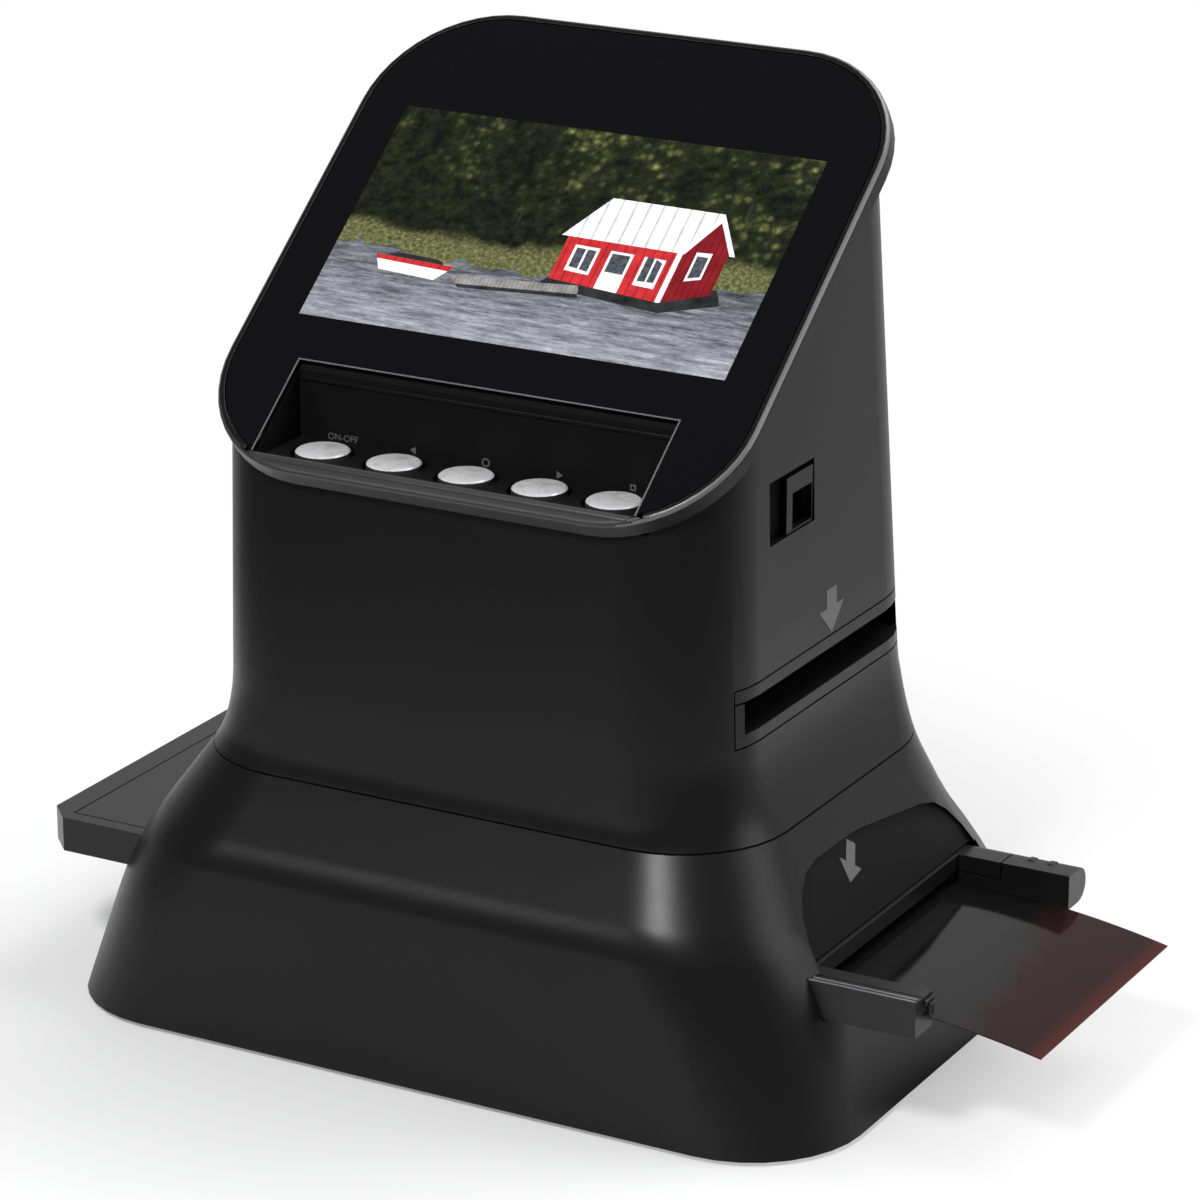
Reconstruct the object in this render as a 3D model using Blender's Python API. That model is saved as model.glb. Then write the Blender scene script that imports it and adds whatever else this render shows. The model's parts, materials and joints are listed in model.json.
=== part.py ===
"""Film negative scanner: a tower with a sloping screen on a flared base.

Metres, +Z up. The scanner faces -Y, +X is its right side as its user sees it, and the origin is
on the ground under the centre of the base. A medium-format holder with a strip of film lies in
the base, and the slot for small-format holders runs through the tower.
"""

import math

import bpy
import bmesh
from mathutils import Matrix, Vector

# Clearance between pieces that touch, and how far a cutting shape runs past what it cuts
GAP = 0.0003
OVERRUN = 0.004

# Base of the housing
BASE_WIDTH = 0.175
BASE_DEPTH = 0.1304
BASE_CORNER = 0.024
FOOT_STAND = 0.001
SKIRT_WALL = 0.0034

# Flare between the base and the tower: where it leaves the tower, and its shoulder
SIDE_FOLD_HEIGHT = 0.0629
SIDE_FOLD_RADIUS = 0.028
SIDE_SHOULDER_HEIGHT = 0.0294
SIDE_SHOULDER_SHARE = 0.728
SIDE_SHOULDER_RADIUS = 0.050
FRONT_FOLD_HEIGHT = 0.0554
FRONT_FOLD_RADIUS = 0.005
FRONT_SHOULDER_HEIGHT = 0.0399
FRONT_SHOULDER_SHARE = 0.76
FRONT_SHOULDER_RADIUS = 0.014
REAR_FOLD_HEIGHT = 0.0529
REAR_FOLD_RADIUS = 0.012
REAR_SHOULDER_HEIGHT = 0.0304
REAR_SHOULDER_SHARE = 0.69
REAR_SHOULDER_RADIUS = 0.020

# Upright corners of the flare, at the height where they are widest
FRONT_FLARE_CORNER = 0.028
REAR_FLARE_CORNER = 0.038
FLARE_CORNER_HEIGHT = 0.033

# Tower at the height from which its walls lean in, and how much each leans
TOWER_WIDTH = 0.1165
TOWER_FRONT = 0.0498
TOWER_REAR = 0.0490
TOWER_CORNER = 0.021
LEAN_HEIGHT = 0.0659
SIDE_DRAFT = 0.020
FRONT_DRAFT = 0.008
REAR_DRAFT = 0.090
TOWER_WALL = 0.0026
SEAM_BELOW_FOLD = 0.0009
COLLAR_HEIGHT = 0.005
COLLAR_WALL = 0.0014
COLLAR_PLAY = 0.0005

# Sloping panel on top of the tower
PANEL_WIDTH = 0.1177
PANEL_LENGTH = 0.1173
PANEL_CORNER = 0.0265
PANEL_SLOPE = math.radians(37.9)
PANEL_OVERHANG = 0.0034
PANEL_ABOVE_SLOT = 0.0380
BEZEL_DEPTH = 0.004
BEZEL_ROUND = 0.0011
BEZEL_RIM = 0.0016
WINDOW_THICKNESS = 0.0012
WINDOW_SINK = 0.0001

# Screen: a 4.3 inch picture, 16 to 9
SCREEN_FROM_SIDE = 0.01133
SCREEN_HEIGHT_SHARE = 0.5667
SCREEN_FROM_EDGE = 0.03666
SCREEN_GLASS_MARGIN = 0.002
SCREEN_GLASS_THICKNESS = 0.0013
SCREEN_FRAME_MARGIN = 0.0042
SCREEN_FRAME_DEPTH = 0.0032

# Keypad recess in the panel, with a row of round keys
KEYPAD_WIDTH = 0.0845
KEYPAD_LIP = 0.00336
KEYPAD_TOP_FROM_EDGE = 0.0260
KEYPAD_FLOOR_RISE = 0.0002
KEYPAD_FLOOR = 0.002
KEYPAD_WALL = 0.0015
KEYPAD_BACK_REACH = 0.0205
KEY_COUNT = 5
KEY_PITCH = 0.01623
KEY_DIAMETER = 0.0123
KEY_FROM_BACK = 0.0075
KEY_PROUD = 0.0009
KEY_DOME = 0.0005
KEY_FLANGE = 0.0007
KEY_FLANGE_THICKNESS = 0.001
KEY_STEM_DIAMETER = 0.004
KEY_STEM_LENGTH = 0.0022
KEY_TRAVEL = 0.0006
KEY_BOARD_WIDTH = 0.076
KEY_BOARD_DEPTH = 0.0124
KEY_SWITCH_SIZE = 0.006
KEY_SWITCH_BODY = 0.0031
KEY_SWITCH_PLUNGER = 0.0015
KEY_POST_DIAMETER = 0.004

# Circuit boards and screws
BOARD_THICKNESS = 0.0016
SCREW_SHANK = 0.0024
SCREW_HEAD = 0.0050
SCREW_HEAD_HEIGHT = 0.0014
SCREW_LENGTH = 0.0085
SCREW_CROWN_SHARE = 0.8

# Holder for medium-format film, lying in the base
HOLDER_LENGTH = 0.200
HOLDER_WIDTH = 0.080
HOLDER_THICKNESS = 0.00735
HOLDER_BOTTOM = 0.02435
HOLDER_CENTRE_Y = -0.003
HOLDER_REST_X = -0.001
HOLDER_CHAMFER = 0.005
HOLDER_NOTCH_DEPTH = 0.0245
HOLDER_FRONT_RAIL = 0.0074
HOLDER_REAR_RAIL = 0.0085
HOLDER_PARTING = 0.00365
HOLDER_FLOOR = 0.0012
HOLDER_END_RIM = 0.0056
HOLDER_FRONT_RIM = 0.0034
HOLDER_CHANNEL_FROM_END = 0.00784
LID_KNUCKLE_SHARES = ((-0.61, -0.20), (0.20, 0.85))
FRAME_SIZE = 0.056
FRAME_BAR = 0.006
HINGE_PIN_DIAMETER = 0.002

# Strip of film in the holder
FILM_WIDTH = 0.0615
FILM_THICKNESS = 0.0003
FILM_LEFT_END = -0.080
FILM_RIGHT_END = 0.121
FILM_DROOP_START = 0.078
FILM_DROOP = 0.0046
FILM_SIDE_PLAY = 0.0005

# Mouths of the base where the holder passes, each in a hand pocket
MOUTH_PLAY = 0.0003
POCKET_BELOW_SEAM = 0.0066
POCKET_FROM_MOUTH = 0.0039
POCKET_BEND_Y = -0.006
POCKET_BEND_ROUND = 0.060
POCKET_REAR_DROP = 0.0052
POCKET_WALL_X = 0.0736
POCKET_LEAN = 0.44
POCKET_CREASE_SHARE = 0.52
POCKET_UPPER_LEAN = 0.58
POCKET_ROUND_SHARES = (0.83, 0.67)
POCKET_WALL = 0.0024

# Slot through the tower for small-format holders
SLOT_FRONT = 0.0336
SLOT_REAR = 0.0376
SLOT_ABOVE_SEAM = 0.0207
SLOT_HEIGHT = 0.0063
SLOT_WALL = 0.0025

# Openings of the light path, all round the lens axis
LENS_AXIS_Y = -0.0025
LOWER_WINDOW = 0.066
UPPER_WINDOW_WIDTH = 0.040
UPPER_WINDOW_DEPTH = 0.028
SHAFT_WALL = 0.0014
SHAFT_FLANGE = 0.004

# Light unit in the base
LIGHT_BOX_SIZE = 0.076
LIGHT_BOX_BOTTOM = 0.0035
LIGHT_BOX_WALL = 0.0015
LIGHT_BOX_FLOOR = 0.0015
DIFFUSER_THICKNESS = 0.002
LED_ROWS = 4
LED_SIZE = 0.0035
LED_HEIGHT = 0.0012

# Guide that carries the medium-format holder
GUIDE_FROM_POCKET = 0.0062
GUIDE_FLOOR = 0.002
GUIDE_RAIL = 0.003
GUIDE_COVER = 0.002
GUIDE_LEG = 0.007

# Socket in the right side of the tower
SOCKET_RECESS_FRONT = -0.0239
SOCKET_RECESS_WIDTH = 0.0189
SOCKET_ABOVE_SLOT = 0.0286
SOCKET_RECESS_HEIGHT = 0.0127
SOCKET_HOLE_WIDTH = 0.0072
SOCKET_HOLE_HEIGHT = 0.0073
SOCKET_HOLE_FROM_FRONT = 0.0105
SOCKET_HOLE_RISE = 0.0003
SOCKET_SINK = 0.0016
SOCKET_SHELL = 0.0009
SOCKET_LENGTH = 0.014
SOCKET_TONGUE_BACK = 0.0025
SURROUND_THICKNESS = 0.0016
SURROUND_MARGIN = 0.0025

# Slot for a memory card in the back of the tower
CARD_WIDTH = 0.024
CARD_THICKNESS = 0.0021
CARD_CENTRE_X = 0.0205
CARD_SOCKET_LENGTH = 0.0255
CARD_SOCKET_HEIGHT = 0.0030

# Camera unit above the slot
BOARD_STANDOFF = 0.0017
DECK_THICKNESS = 0.002
DECK_POST = 0.007
DECK_POST_FROM_WALL = 0.0105
DECK_WINDOW_SHARE = 0.8
BRACKET_UNDER_SCREEN = 0.0042
BRACKET_THICKNESS = 0.002
BRACKET_WIDTH = 0.043
BRACKET_DEPTH = 0.036
BRACKET_POST = 0.006
LENS_DIAMETER = 0.014
LENS_BORE = 0.0106
LENS_LENGTH = 0.0155
LENS_FLANGE = 0.0015
SENSOR_BOARD = 0.024
SENSOR_SIZE = 0.0114

# Section of the front lens: reach as a share of its rim, depth as a share of the flange
LENS_GLASS_SHARES = ((0.15, 1.5), (0.6, 1.35), (1.0, 1.0), (1.0, 0.0))

# Chips on the main board, as shares of the sensor's size: place along X and Y, and size
CHIP_SHARES = ((0.0, 0.1, 1.0), (0.0, -1.8, 0.7), (1.2, 0.2, 0.6))

# Rubber feet
FOOT_DIAMETER = 0.014
FOOT_SINK = 0.001
FOOT_FROM_SIDE = 0.018
FOOT_FROM_FRONT = 0.0217
BASE_PLATE = 0.0022
BASE_BOSS = 0.008
BASE_BOSS_FROM_SIDE = 0.0235
BASE_BOSS_FROM_FRONT = 0.0127

# Facets: how finely round shapes are cut
CORNER_STEPS = 8
PANEL_CORNER_STEPS = 12
ARC_STEPS = 5
ROD_SIDES = 20
KEY_SIDES = 24
SCREW_SIDES = 8
RING_SPACING = 0.0016
SMOOTH_ANGLE = math.radians(32)

# Heights and places that several pieces share
SEAM_HEIGHT = FRONT_FOLD_HEIGHT - SEAM_BELOW_FOLD
SLOT_BOTTOM = SEAM_HEIGHT + SLOT_ABOVE_SEAM
SLOT_TOP = SLOT_BOTTOM + SLOT_HEIGHT
PANEL_FRONT_HEIGHT = SLOT_TOP + PANEL_ABOVE_SLOT
KEYPAD_FLOOR_HEIGHT = PANEL_FRONT_HEIGHT + KEYPAD_FLOOR_RISE
SCREEN_WIDTH = PANEL_WIDTH - 2 * SCREEN_FROM_SIDE
SCREEN_HEIGHT = SCREEN_WIDTH * SCREEN_HEIGHT_SHARE
TOWER_HALF = TOWER_WIDTH / 2
BASE_HALF = BASE_WIDTH / 2
BASE_HALF_DEPTH = BASE_DEPTH / 2
HOLDER_TOP = HOLDER_BOTTOM + HOLDER_THICKNESS
HOLDER_FRONT_Y = HOLDER_CENTRE_Y - HOLDER_WIDTH / 2
HOLDER_REAR_Y = HOLDER_CENTRE_Y + HOLDER_WIDTH / 2
MOUTH_BOTTOM = HOLDER_BOTTOM - MOUTH_PLAY
MOUTH_TOP = HOLDER_TOP + MOUTH_PLAY
MOUTH_FRONT_Y = HOLDER_FRONT_Y - MOUTH_PLAY
MOUTH_REAR_Y = HOLDER_REAR_Y + MOUTH_PLAY
POCKET_HEIGHT = SEAM_HEIGHT - POCKET_BELOW_SEAM
POCKET_CREASE_HEIGHT = MOUTH_TOP + (POCKET_HEIGHT - MOUTH_TOP) * POCKET_CREASE_SHARE
SLEEVE_FRONT_Y = -SLOT_FRONT - SLOT_WALL
SLEEVE_REAR_Y = SLOT_REAR + SLOT_WALL
SLEEVE_BOTTOM = SLOT_BOTTOM - SLOT_WALL
SLEEVE_TOP = SLOT_TOP + GAP + SLOT_WALL
GUIDE_LENGTH = 2 * (POCKET_WALL_X - POCKET_WALL - GUIDE_FROM_POCKET)
GUIDE_COVER_BOTTOM = MOUTH_TOP
GUIDE_COVER_TOP = GUIDE_COVER_BOTTOM + GUIDE_COVER
GUIDE_FLOOR_BOTTOM = MOUTH_BOTTOM - GUIDE_FLOOR
BASE_PLATE_BOTTOM = FOOT_STAND
BASE_PLATE_TOP = BASE_PLATE_BOTTOM + BASE_PLATE
DIFFUSER_TOP = GUIDE_FLOOR_BOTTOM - GAP
LIGHT_BOX_TOP = DIFFUSER_TOP - DIFFUSER_THICKNESS - GAP
PANEL_FRONT_Y = -TOWER_FRONT - PANEL_OVERHANG
WINDOW_BOTTOM = -WINDOW_SINK - WINDOW_THICKNESS
SCREEN_BACK_DEPTH = WINDOW_SINK + WINDOW_THICKNESS + GAP + SCREEN_FRAME_DEPTH
BRACKET_FRONT_Y = LENS_AXIS_Y - BRACKET_DEPTH / 2
SCREEN_BACK_HEIGHT = (
    PANEL_FRONT_HEIGHT
    + (BRACKET_FRONT_Y - PANEL_FRONT_Y) * math.tan(PANEL_SLOPE)
    - SCREEN_BACK_DEPTH / math.cos(PANEL_SLOPE)
)
BRACKET_HEIGHT = SCREEN_BACK_HEIGHT - BRACKET_UNDER_SCREEN - BRACKET_THICKNESS
KEYPAD_BACK_Y = PANEL_FRONT_Y + KEYPAD_BACK_REACH
KEY_Y = KEYPAD_BACK_Y - KEY_FROM_BACK
KEYPAD_FLOOR_BOTTOM = KEYPAD_FLOOR_HEIGHT - KEYPAD_FLOOR
KEY_STEM_BOTTOM = KEYPAD_FLOOR_BOTTOM - GAP - KEY_FLANGE_THICKNESS - KEY_STEM_LENGTH
KEY_SWITCH_TOP = KEY_STEM_BOTTOM - KEY_TRAVEL - GAP
KEY_BOARD_TOP = KEY_SWITCH_TOP - KEY_SWITCH_PLUNGER - KEY_SWITCH_BODY - GAP
SOCKET_RECESS_BOTTOM = SLOT_TOP + SOCKET_ABOVE_SLOT
SOCKET_HOLE_BOTTOM = SOCKET_RECESS_BOTTOM + SOCKET_HOLE_RISE
SOCKET_HOLE_FRONT = SOCKET_RECESS_FRONT + SOCKET_HOLE_FROM_FRONT
BOARD_BOTTOM = SOCKET_HOLE_BOTTOM - SOCKET_SHELL - GAP - BOARD_THICKNESS
DECK_TOP = BOARD_BOTTOM - BOARD_STANDOFF
DECK_HEIGHT = DECK_TOP - DECK_THICKNESS
SCREW_HOLE = SCREW_SHANK + 2 * GAP


# Shapes


def rounded_outline(left, right, front, rear, radii, steps):
    """Points round a rectangle, counterclockwise from the front right, with its front and rear radii."""
    near, far = radii
    corners = (
        (right - near, front + near, near, -math.pi / 2),
        (right - far, rear - far, far, 0.0),
        (left + far, rear - far, far, math.pi / 2),
        (left + near, front + near, near, math.pi),
    )
    points = []
    for x, y, radius, start in corners:
        for step in range(steps + 1):
            angle = start + math.pi / 2 * step / steps
            points.append(Vector((x + radius * math.cos(angle), y + radius * math.sin(angle))))
    return points


def rounded_path(corners, radii, steps):
    """Straight runs between the corner points, with each inner corner turned into an arc."""
    path = [corners[0]]
    for before, corner, after, radius in zip(corners, corners[1:], corners[2:], radii):
        to_before = (before - corner).normalized()
        to_after = (after - corner).normalized()
        half = to_before.angle(to_after) / 2
        middle = (to_before + to_after).normalized()
        centre = corner + middle * (radius / math.sin(half))
        first = corner + to_before * (radius / math.tan(half)) - centre
        last = corner + to_after * (radius / math.tan(half)) - centre
        turn = first.angle_signed(last)
        for step in range(steps + 1):
            share = step / steps
            path.append(centre + Matrix.Rotation(-turn * share, 2) @ first)
    path.append(corners[-1])
    return path


def reach_at(points, height):
    """The reach of a path of (reach, height) points, read at one height."""
    for upper, lower in zip(points, points[1:]):
        if lower.y <= height <= upper.y:
            share = (upper.y - height) / (upper.y - lower.y)
            return upper.x + (lower.x - upper.x) * share
    return points[0].x if height > points[0].y else points[-1].x


def loft(bm, rings):
    """A closed body through rings of equally many points, with a face over each end."""
    rows = [[bm.verts.new(point) for point in ring] for ring in rings]
    for lower, upper in zip(rows, rows[1:]):
        for index in range(len(lower)):
            following = (index + 1) % len(lower)
            bm.faces.new((lower[index], lower[following], upper[following], upper[index]))
    bm.faces.new(list(reversed(rows[0])))
    bm.faces.new(rows[-1])


def prism(bm, outline, bottom, top, place=None):
    """A flat outline raised from one height to another, moved by the matrix place."""
    rings = [[Vector((point[0], point[1], height)) for point in outline] for height in (bottom, top)]
    if place is not None:
        rings = [[place @ point for point in ring] for ring in rings]
    loft(bm, rings)


def block(bm, low, high):
    """A box between two opposite corners."""
    low = Vector(low)
    high = Vector(high)
    size = high - low
    matrix = Matrix.Translation((low + high) / 2) @ Matrix.Diagonal((size.x, size.y, size.z, 1.0))
    bmesh.ops.create_cube(bm, size=1.0, matrix=matrix)


def circle(x, y, radius, height, sides):
    """Points round a circle at one height."""
    return [
        Vector((x + radius * math.cos(turn), y + radius * math.sin(turn), height))
        for turn in (2 * math.pi * side / sides for side in range(sides))
    ]


def turned(bm, x, y, profile, sides=ROD_SIDES):
    """A solid turned about an upright axis from (radius, height) points, bottom to top."""
    loft(bm, [circle(x, y, radius, height, sides) for radius, height in profile])


def rod(bm, x, y, diameter, bottom, top, sides=ROD_SIDES):
    """An upright round rod."""
    turned(bm, x, y, ((diameter / 2, bottom), (diameter / 2, top)), sides)


# Objects


def finish(name, colour, roughness, metallic):
    """A plain surface of one colour."""
    material = bpy.data.materials.new(name + "_finish")
    material.use_nodes = True
    shader = material.node_tree.nodes["Principled BSDF"]
    shader.inputs["Base Color"].default_value = (*colour, 1.0)
    shader.inputs["Roughness"].default_value = roughness
    shader.inputs["Metallic"].default_value = metallic
    return material


BLACK_PLASTIC = ((0.016, 0.016, 0.017), 0.45, 0.0)
INNER_PLASTIC = ((0.030, 0.030, 0.031), 0.60, 0.0)
GLOSS_BLACK = ((0.004, 0.004, 0.005), 0.08, 0.0)
SILVER = ((0.52, 0.52, 0.53), 0.30, 0.6)
STEEL = ((0.45, 0.45, 0.46), 0.35, 1.0)
RUBBER = ((0.02, 0.02, 0.02), 0.85, 0.0)
BOARD = ((0.02, 0.11, 0.05), 0.50, 0.0)
WHITE_PLASTIC = ((0.80, 0.80, 0.78), 0.55, 0.0)
CLEAR_GLASS = ((0.75, 0.80, 0.85), 0.05, 0.0)
FILM = ((0.10, 0.03, 0.02), 0.15, 0.0)
CHIP = ((0.01, 0.01, 0.012), 0.40, 0.0)


def add_object(name, bm, look=None, parent=None, place=(0.0, 0.0, 0.0)):
    """An object made of the mesh bm, with faces outward; without a look it is a cutting shape."""
    bmesh.ops.recalc_face_normals(bm, faces=bm.faces)
    mesh = bpy.data.meshes.new(name)
    bm.to_mesh(mesh)
    bm.free()
    made = bpy.data.objects.new(name, mesh)
    bpy.context.scene.collection.objects.link(made)
    made.location = place
    made.parent = parent
    if look is None:
        made.hide_render = True
        made.display_type = "WIRE"
    else:
        mesh.materials.append(finish(name, *look))
        mesh.shade_smooth()
        mesh.set_sharp_from_angle(angle=SMOOTH_ANGLE)
    return made


def add_frame(name, place, tilt=0.0):
    """An empty that carries other objects, tilted about X."""
    made = bpy.data.objects.new(name, None)
    bpy.context.scene.collection.objects.link(made)
    made.location = place
    made.rotation_euler = (tilt, 0.0, 0.0)
    return made


def combine(target, tool, operation="DIFFERENCE"):
    """Cuts, joins or trims target with another object."""
    modifier = target.modifiers.new(operation.lower() + "_" + tool.name, "BOOLEAN")
    modifier.operation = operation
    modifier.solver = "EXACT"
    modifier.object = tool


def blocks(name, corners, look=None, parent=None):
    """One object of separate boxes."""
    bm = bmesh.new()
    for low, high in corners:
        block(bm, low, high)
    return add_object(name, bm, look, parent)


def rods(name, places, diameter, bottom, top, look=None, parent=None, sides=ROD_SIDES):
    """One object of separate upright rods."""
    bm = bmesh.new()
    for x, y in places:
        rod(bm, x, y, diameter, bottom, top, sides)
    return add_object(name, bm, look, parent)


def screws(name, places, seat, upwards):
    """Pan-head screws whose heads lie on seat, with their shanks running up or down from there."""
    way = 1.0 if upwards else -1.0
    head = SCREW_HEAD / 2
    shank = SCREW_SHANK / 2
    profile = (
        (head * SCREW_CROWN_SHARE, -way * SCREW_HEAD_HEIGHT),
        (head, -way * SCREW_HEAD_HEIGHT / 2),
        (head, 0.0),
        (shank, 0.0),
        (shank, way * (SCREW_LENGTH - shank)),
        (shank / 2, way * SCREW_LENGTH),
    )
    for index, (x, y) in enumerate(places):
        bm = bmesh.new()
        turned(bm, 0.0, 0.0, profile, SCREW_SIDES)
        add_object(name + "_" + str(index + 1), bm, STEEL, place=(x, y, seat))


# Housing


def flare(ground_reach, shoulder_share, fold_height, shoulder_height, radii):
    """The outline of the flare, as (reach beyond the tower, height) points from top to ground."""
    corners = [
        Vector((0.0, fold_height * 2)),
        Vector((0.0, fold_height)),
        Vector((ground_reach * shoulder_share, shoulder_height)),
        Vector((ground_reach, 0.0)),
    ]
    return rounded_path(corners, radii, ARC_STEPS)


SIDE_FLARE = flare(
    BASE_HALF - TOWER_HALF,
    SIDE_SHOULDER_SHARE,
    SIDE_FOLD_HEIGHT,
    SIDE_SHOULDER_HEIGHT,
    (SIDE_FOLD_RADIUS, SIDE_SHOULDER_RADIUS),
)
FRONT_FLARE = flare(
    BASE_HALF_DEPTH - TOWER_FRONT,
    FRONT_SHOULDER_SHARE,
    FRONT_FOLD_HEIGHT,
    FRONT_SHOULDER_HEIGHT,
    (FRONT_FOLD_RADIUS, FRONT_SHOULDER_RADIUS),
)
REAR_FLARE = flare(
    BASE_HALF_DEPTH - TOWER_REAR,
    REAR_SHOULDER_SHARE,
    REAR_FOLD_HEIGHT,
    REAR_SHOULDER_HEIGHT,
    (REAR_FOLD_RADIUS, REAR_SHOULDER_RADIUS),
)


def corner_radius(height, widest):
    """Corner radius of the housing: the base's at the ground, widest in the flare, the tower's above."""
    if height <= FLARE_CORNER_HEIGHT:
        share = height / FLARE_CORNER_HEIGHT
        start, end = BASE_CORNER, widest
    else:
        share = min(1.0, (height - FLARE_CORNER_HEIGHT) / (LEAN_HEIGHT - FLARE_CORNER_HEIGHT))
        start, end = widest, TOWER_CORNER
    share = (1 - math.cos(math.pi * share)) / 2
    return start + (end - start) * share


def section(height, inset):
    """The outline of the housing at one height, drawn in by inset all round."""
    above = max(0.0, height - LEAN_HEIGHT)
    half = TOWER_HALF + reach_at(SIDE_FLARE, height) - SIDE_DRAFT * above - inset
    front = TOWER_FRONT + reach_at(FRONT_FLARE, height) - FRONT_DRAFT * above - inset
    rear = TOWER_REAR + reach_at(REAR_FLARE, height) - REAR_DRAFT * above - inset
    front_radius = corner_radius(height, FRONT_FLARE_CORNER) - inset
    rear_radius = corner_radius(height, REAR_FLARE_CORNER) - inset
    return rounded_outline(-half, half, -front, rear, (front_radius, rear_radius), CORNER_STEPS)


def ring(height, inset):
    """The same outline as points in space."""
    return [Vector((point.x, point.y, height)) for point in section(height, inset)]


def flare_heights(bottom, top):
    """Heights at which the flare is cut into rings: where either outline bends."""
    bends = [point.y for point in SIDE_FLARE + FRONT_FLARE + REAR_FLARE]
    bends += [FLARE_CORNER_HEIGHT, LEAN_HEIGHT]
    inside = sorted(height for height in bends if bottom + RING_SPACING < height < top - RING_SPACING)
    thinned = [bottom]
    for height in inside:
        if height - thinned[-1] > RING_SPACING:
            thinned.append(height)
    return thinned + [top]


def top_cutter(name, parent, depth):
    """Everything above the plane that lies depth under the panel's face."""
    reach = PANEL_LENGTH + PANEL_WIDTH
    low = (-reach, -reach, -depth)
    high = (reach, reach, reach)
    return blocks(name, [(low, high)], parent=parent)


def pocket_space(name, grow, side):
    """The space of one hand pocket, grown by grow all round: its outline, cut back to its wall."""
    front = MOUTH_FRONT_Y + POCKET_FROM_MOUTH - grow
    rear = MOUTH_REAR_Y + grow
    bottom = MOUTH_BOTTOM - grow
    top = POCKET_HEIGHT + grow
    corners = [
        Vector((rear, bottom)),
        Vector((rear, top - POCKET_REAR_DROP)),
        Vector((POCKET_BEND_Y, top)),
        Vector((front, top)),
        Vector((front, bottom)),
    ]
    height = POCKET_HEIGHT - MOUTH_BOTTOM
    rear_round, front_round = [height * share + grow for share in POCKET_ROUND_SHARES]
    radii = (rear_round, POCKET_BEND_ROUND, front_round)
    outline = rounded_path(corners, radii, ARC_STEPS)
    outer = BASE_HALF + OVERRUN
    bm = bmesh.new()
    loft(bm, [[Vector((side * x, point.x, point.y)) for point in outline] for x in (TOWER_HALF / 2, outer)])
    space = add_object(name, bm)

    crease = POCKET_WALL_X - POCKET_LEAN * (POCKET_CREASE_HEIGHT - MOUTH_TOP)
    profile = [
        (POCKET_WALL_X + POCKET_LEAN * (MOUTH_TOP - bottom) - grow, bottom),
        (crease - grow, POCKET_CREASE_HEIGHT),
        (crease - POCKET_UPPER_LEAN * (top - POCKET_CREASE_HEIGHT) - grow, top + OVERRUN),
        (outer + OVERRUN, top + OVERRUN),
        (outer + OVERRUN, bottom - OVERRUN),
        (POCKET_WALL_X + POCKET_LEAN * (MOUTH_TOP - bottom) - grow, bottom - OVERRUN),
    ]
    bm = bmesh.new()
    ends = (front - OVERRUN, rear + OVERRUN)
    loft(bm, [[Vector((side * x, y, z)) for x, z in profile] for y in ends])
    combine(space, add_object(name + "_wall", bm), "INTERSECT")
    return space


def base_boss_places():
    """Where the four screws of the base plate stand."""
    x = BASE_HALF - BASE_BOSS_FROM_SIDE
    y = BASE_HALF_DEPTH - BASE_BOSS_FROM_FRONT
    return [(sx * x, sy * y) for sx in (-1, 1) for sy in (-1, 1)]


def skirt_inside(inset):
    """Rings of the space inside the skirt, from under the ground to below its collar."""
    heights = flare_heights(FOOT_STAND, FRONT_FOLD_HEIGHT - COLLAR_HEIGHT)
    below = [Vector((point.x, point.y, -OVERRUN)) for point in section(FOOT_STAND, inset)]
    return [below] + [ring(height, inset) for height in heights]


def make_lower_housing():
    """Flared skirt: a shell with a collar, a pocket and a mouth at each side, and four bosses."""
    bm = bmesh.new()
    seam = SEAM_HEIGHT - GAP
    collar = TOWER_WALL + COLLAR_PLAY
    rings = [ring(height, 0.0) for height in flare_heights(FOOT_STAND, seam)]
    rings += [ring(height, collar) for height in flare_heights(seam, SEAM_HEIGHT + COLLAR_HEIGHT)]
    loft(bm, rings)
    housing = add_object("lower_housing", bm, BLACK_PLASTIC)

    bm = bmesh.new()
    narrow = collar + COLLAR_WALL
    rings = skirt_inside(SKIRT_WALL)
    rings.append(ring(FRONT_FOLD_HEIGHT, narrow))
    rings.append(ring(SEAM_HEIGHT + COLLAR_HEIGHT + OVERRUN, narrow))
    loft(bm, rings)
    cavity = add_object("lower_cavity", bm)
    bosses = rods("base_bosses", base_boss_places(), BASE_BOSS, BASE_PLATE_TOP + GAP, SEAM_HEIGHT)
    combine(cavity, bosses)
    for side, word in ((1, "right"), (-1, "left")):
        combine(cavity, pocket_space(word + "_pocket_core", POCKET_WALL, side))
    combine(housing, cavity)
    for side, word in ((1, "right"), (-1, "left")):
        combine(housing, pocket_space(word + "_pocket", 0.0, side))
    reach = BASE_HALF + OVERRUN
    mouth = [((-reach, MOUTH_FRONT_Y, MOUTH_BOTTOM), (reach, MOUTH_REAR_Y, MOUTH_TOP))]
    combine(housing, blocks("holder_mouth", mouth))
    bottom = BASE_PLATE_TOP - OVERRUN
    top = BASE_PLATE_BOTTOM + SCREW_LENGTH + OVERRUN
    combine(housing, rods("boss_holes", base_boss_places(), SCREW_HOLE, bottom, top, sides=SCREW_SIDES))


def tower_form(name, inset, overrun, look=None):
    """A solid of the tower's outline, from the seam to above the panel and past both by overrun."""
    bend = SIDE_FOLD_HEIGHT + SIDE_FOLD_RADIUS
    rings = [ring(height, inset) for height in flare_heights(SEAM_HEIGHT, bend)]
    rings.append(ring(tower_top() + overrun, inset))
    if overrun:
        bottom = SEAM_HEIGHT - overrun
        rings.insert(0, [Vector((point.x, point.y, bottom)) for point in rings[0]])
    bm = bmesh.new()
    loft(bm, rings)
    return add_object(name, bm, look)


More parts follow.
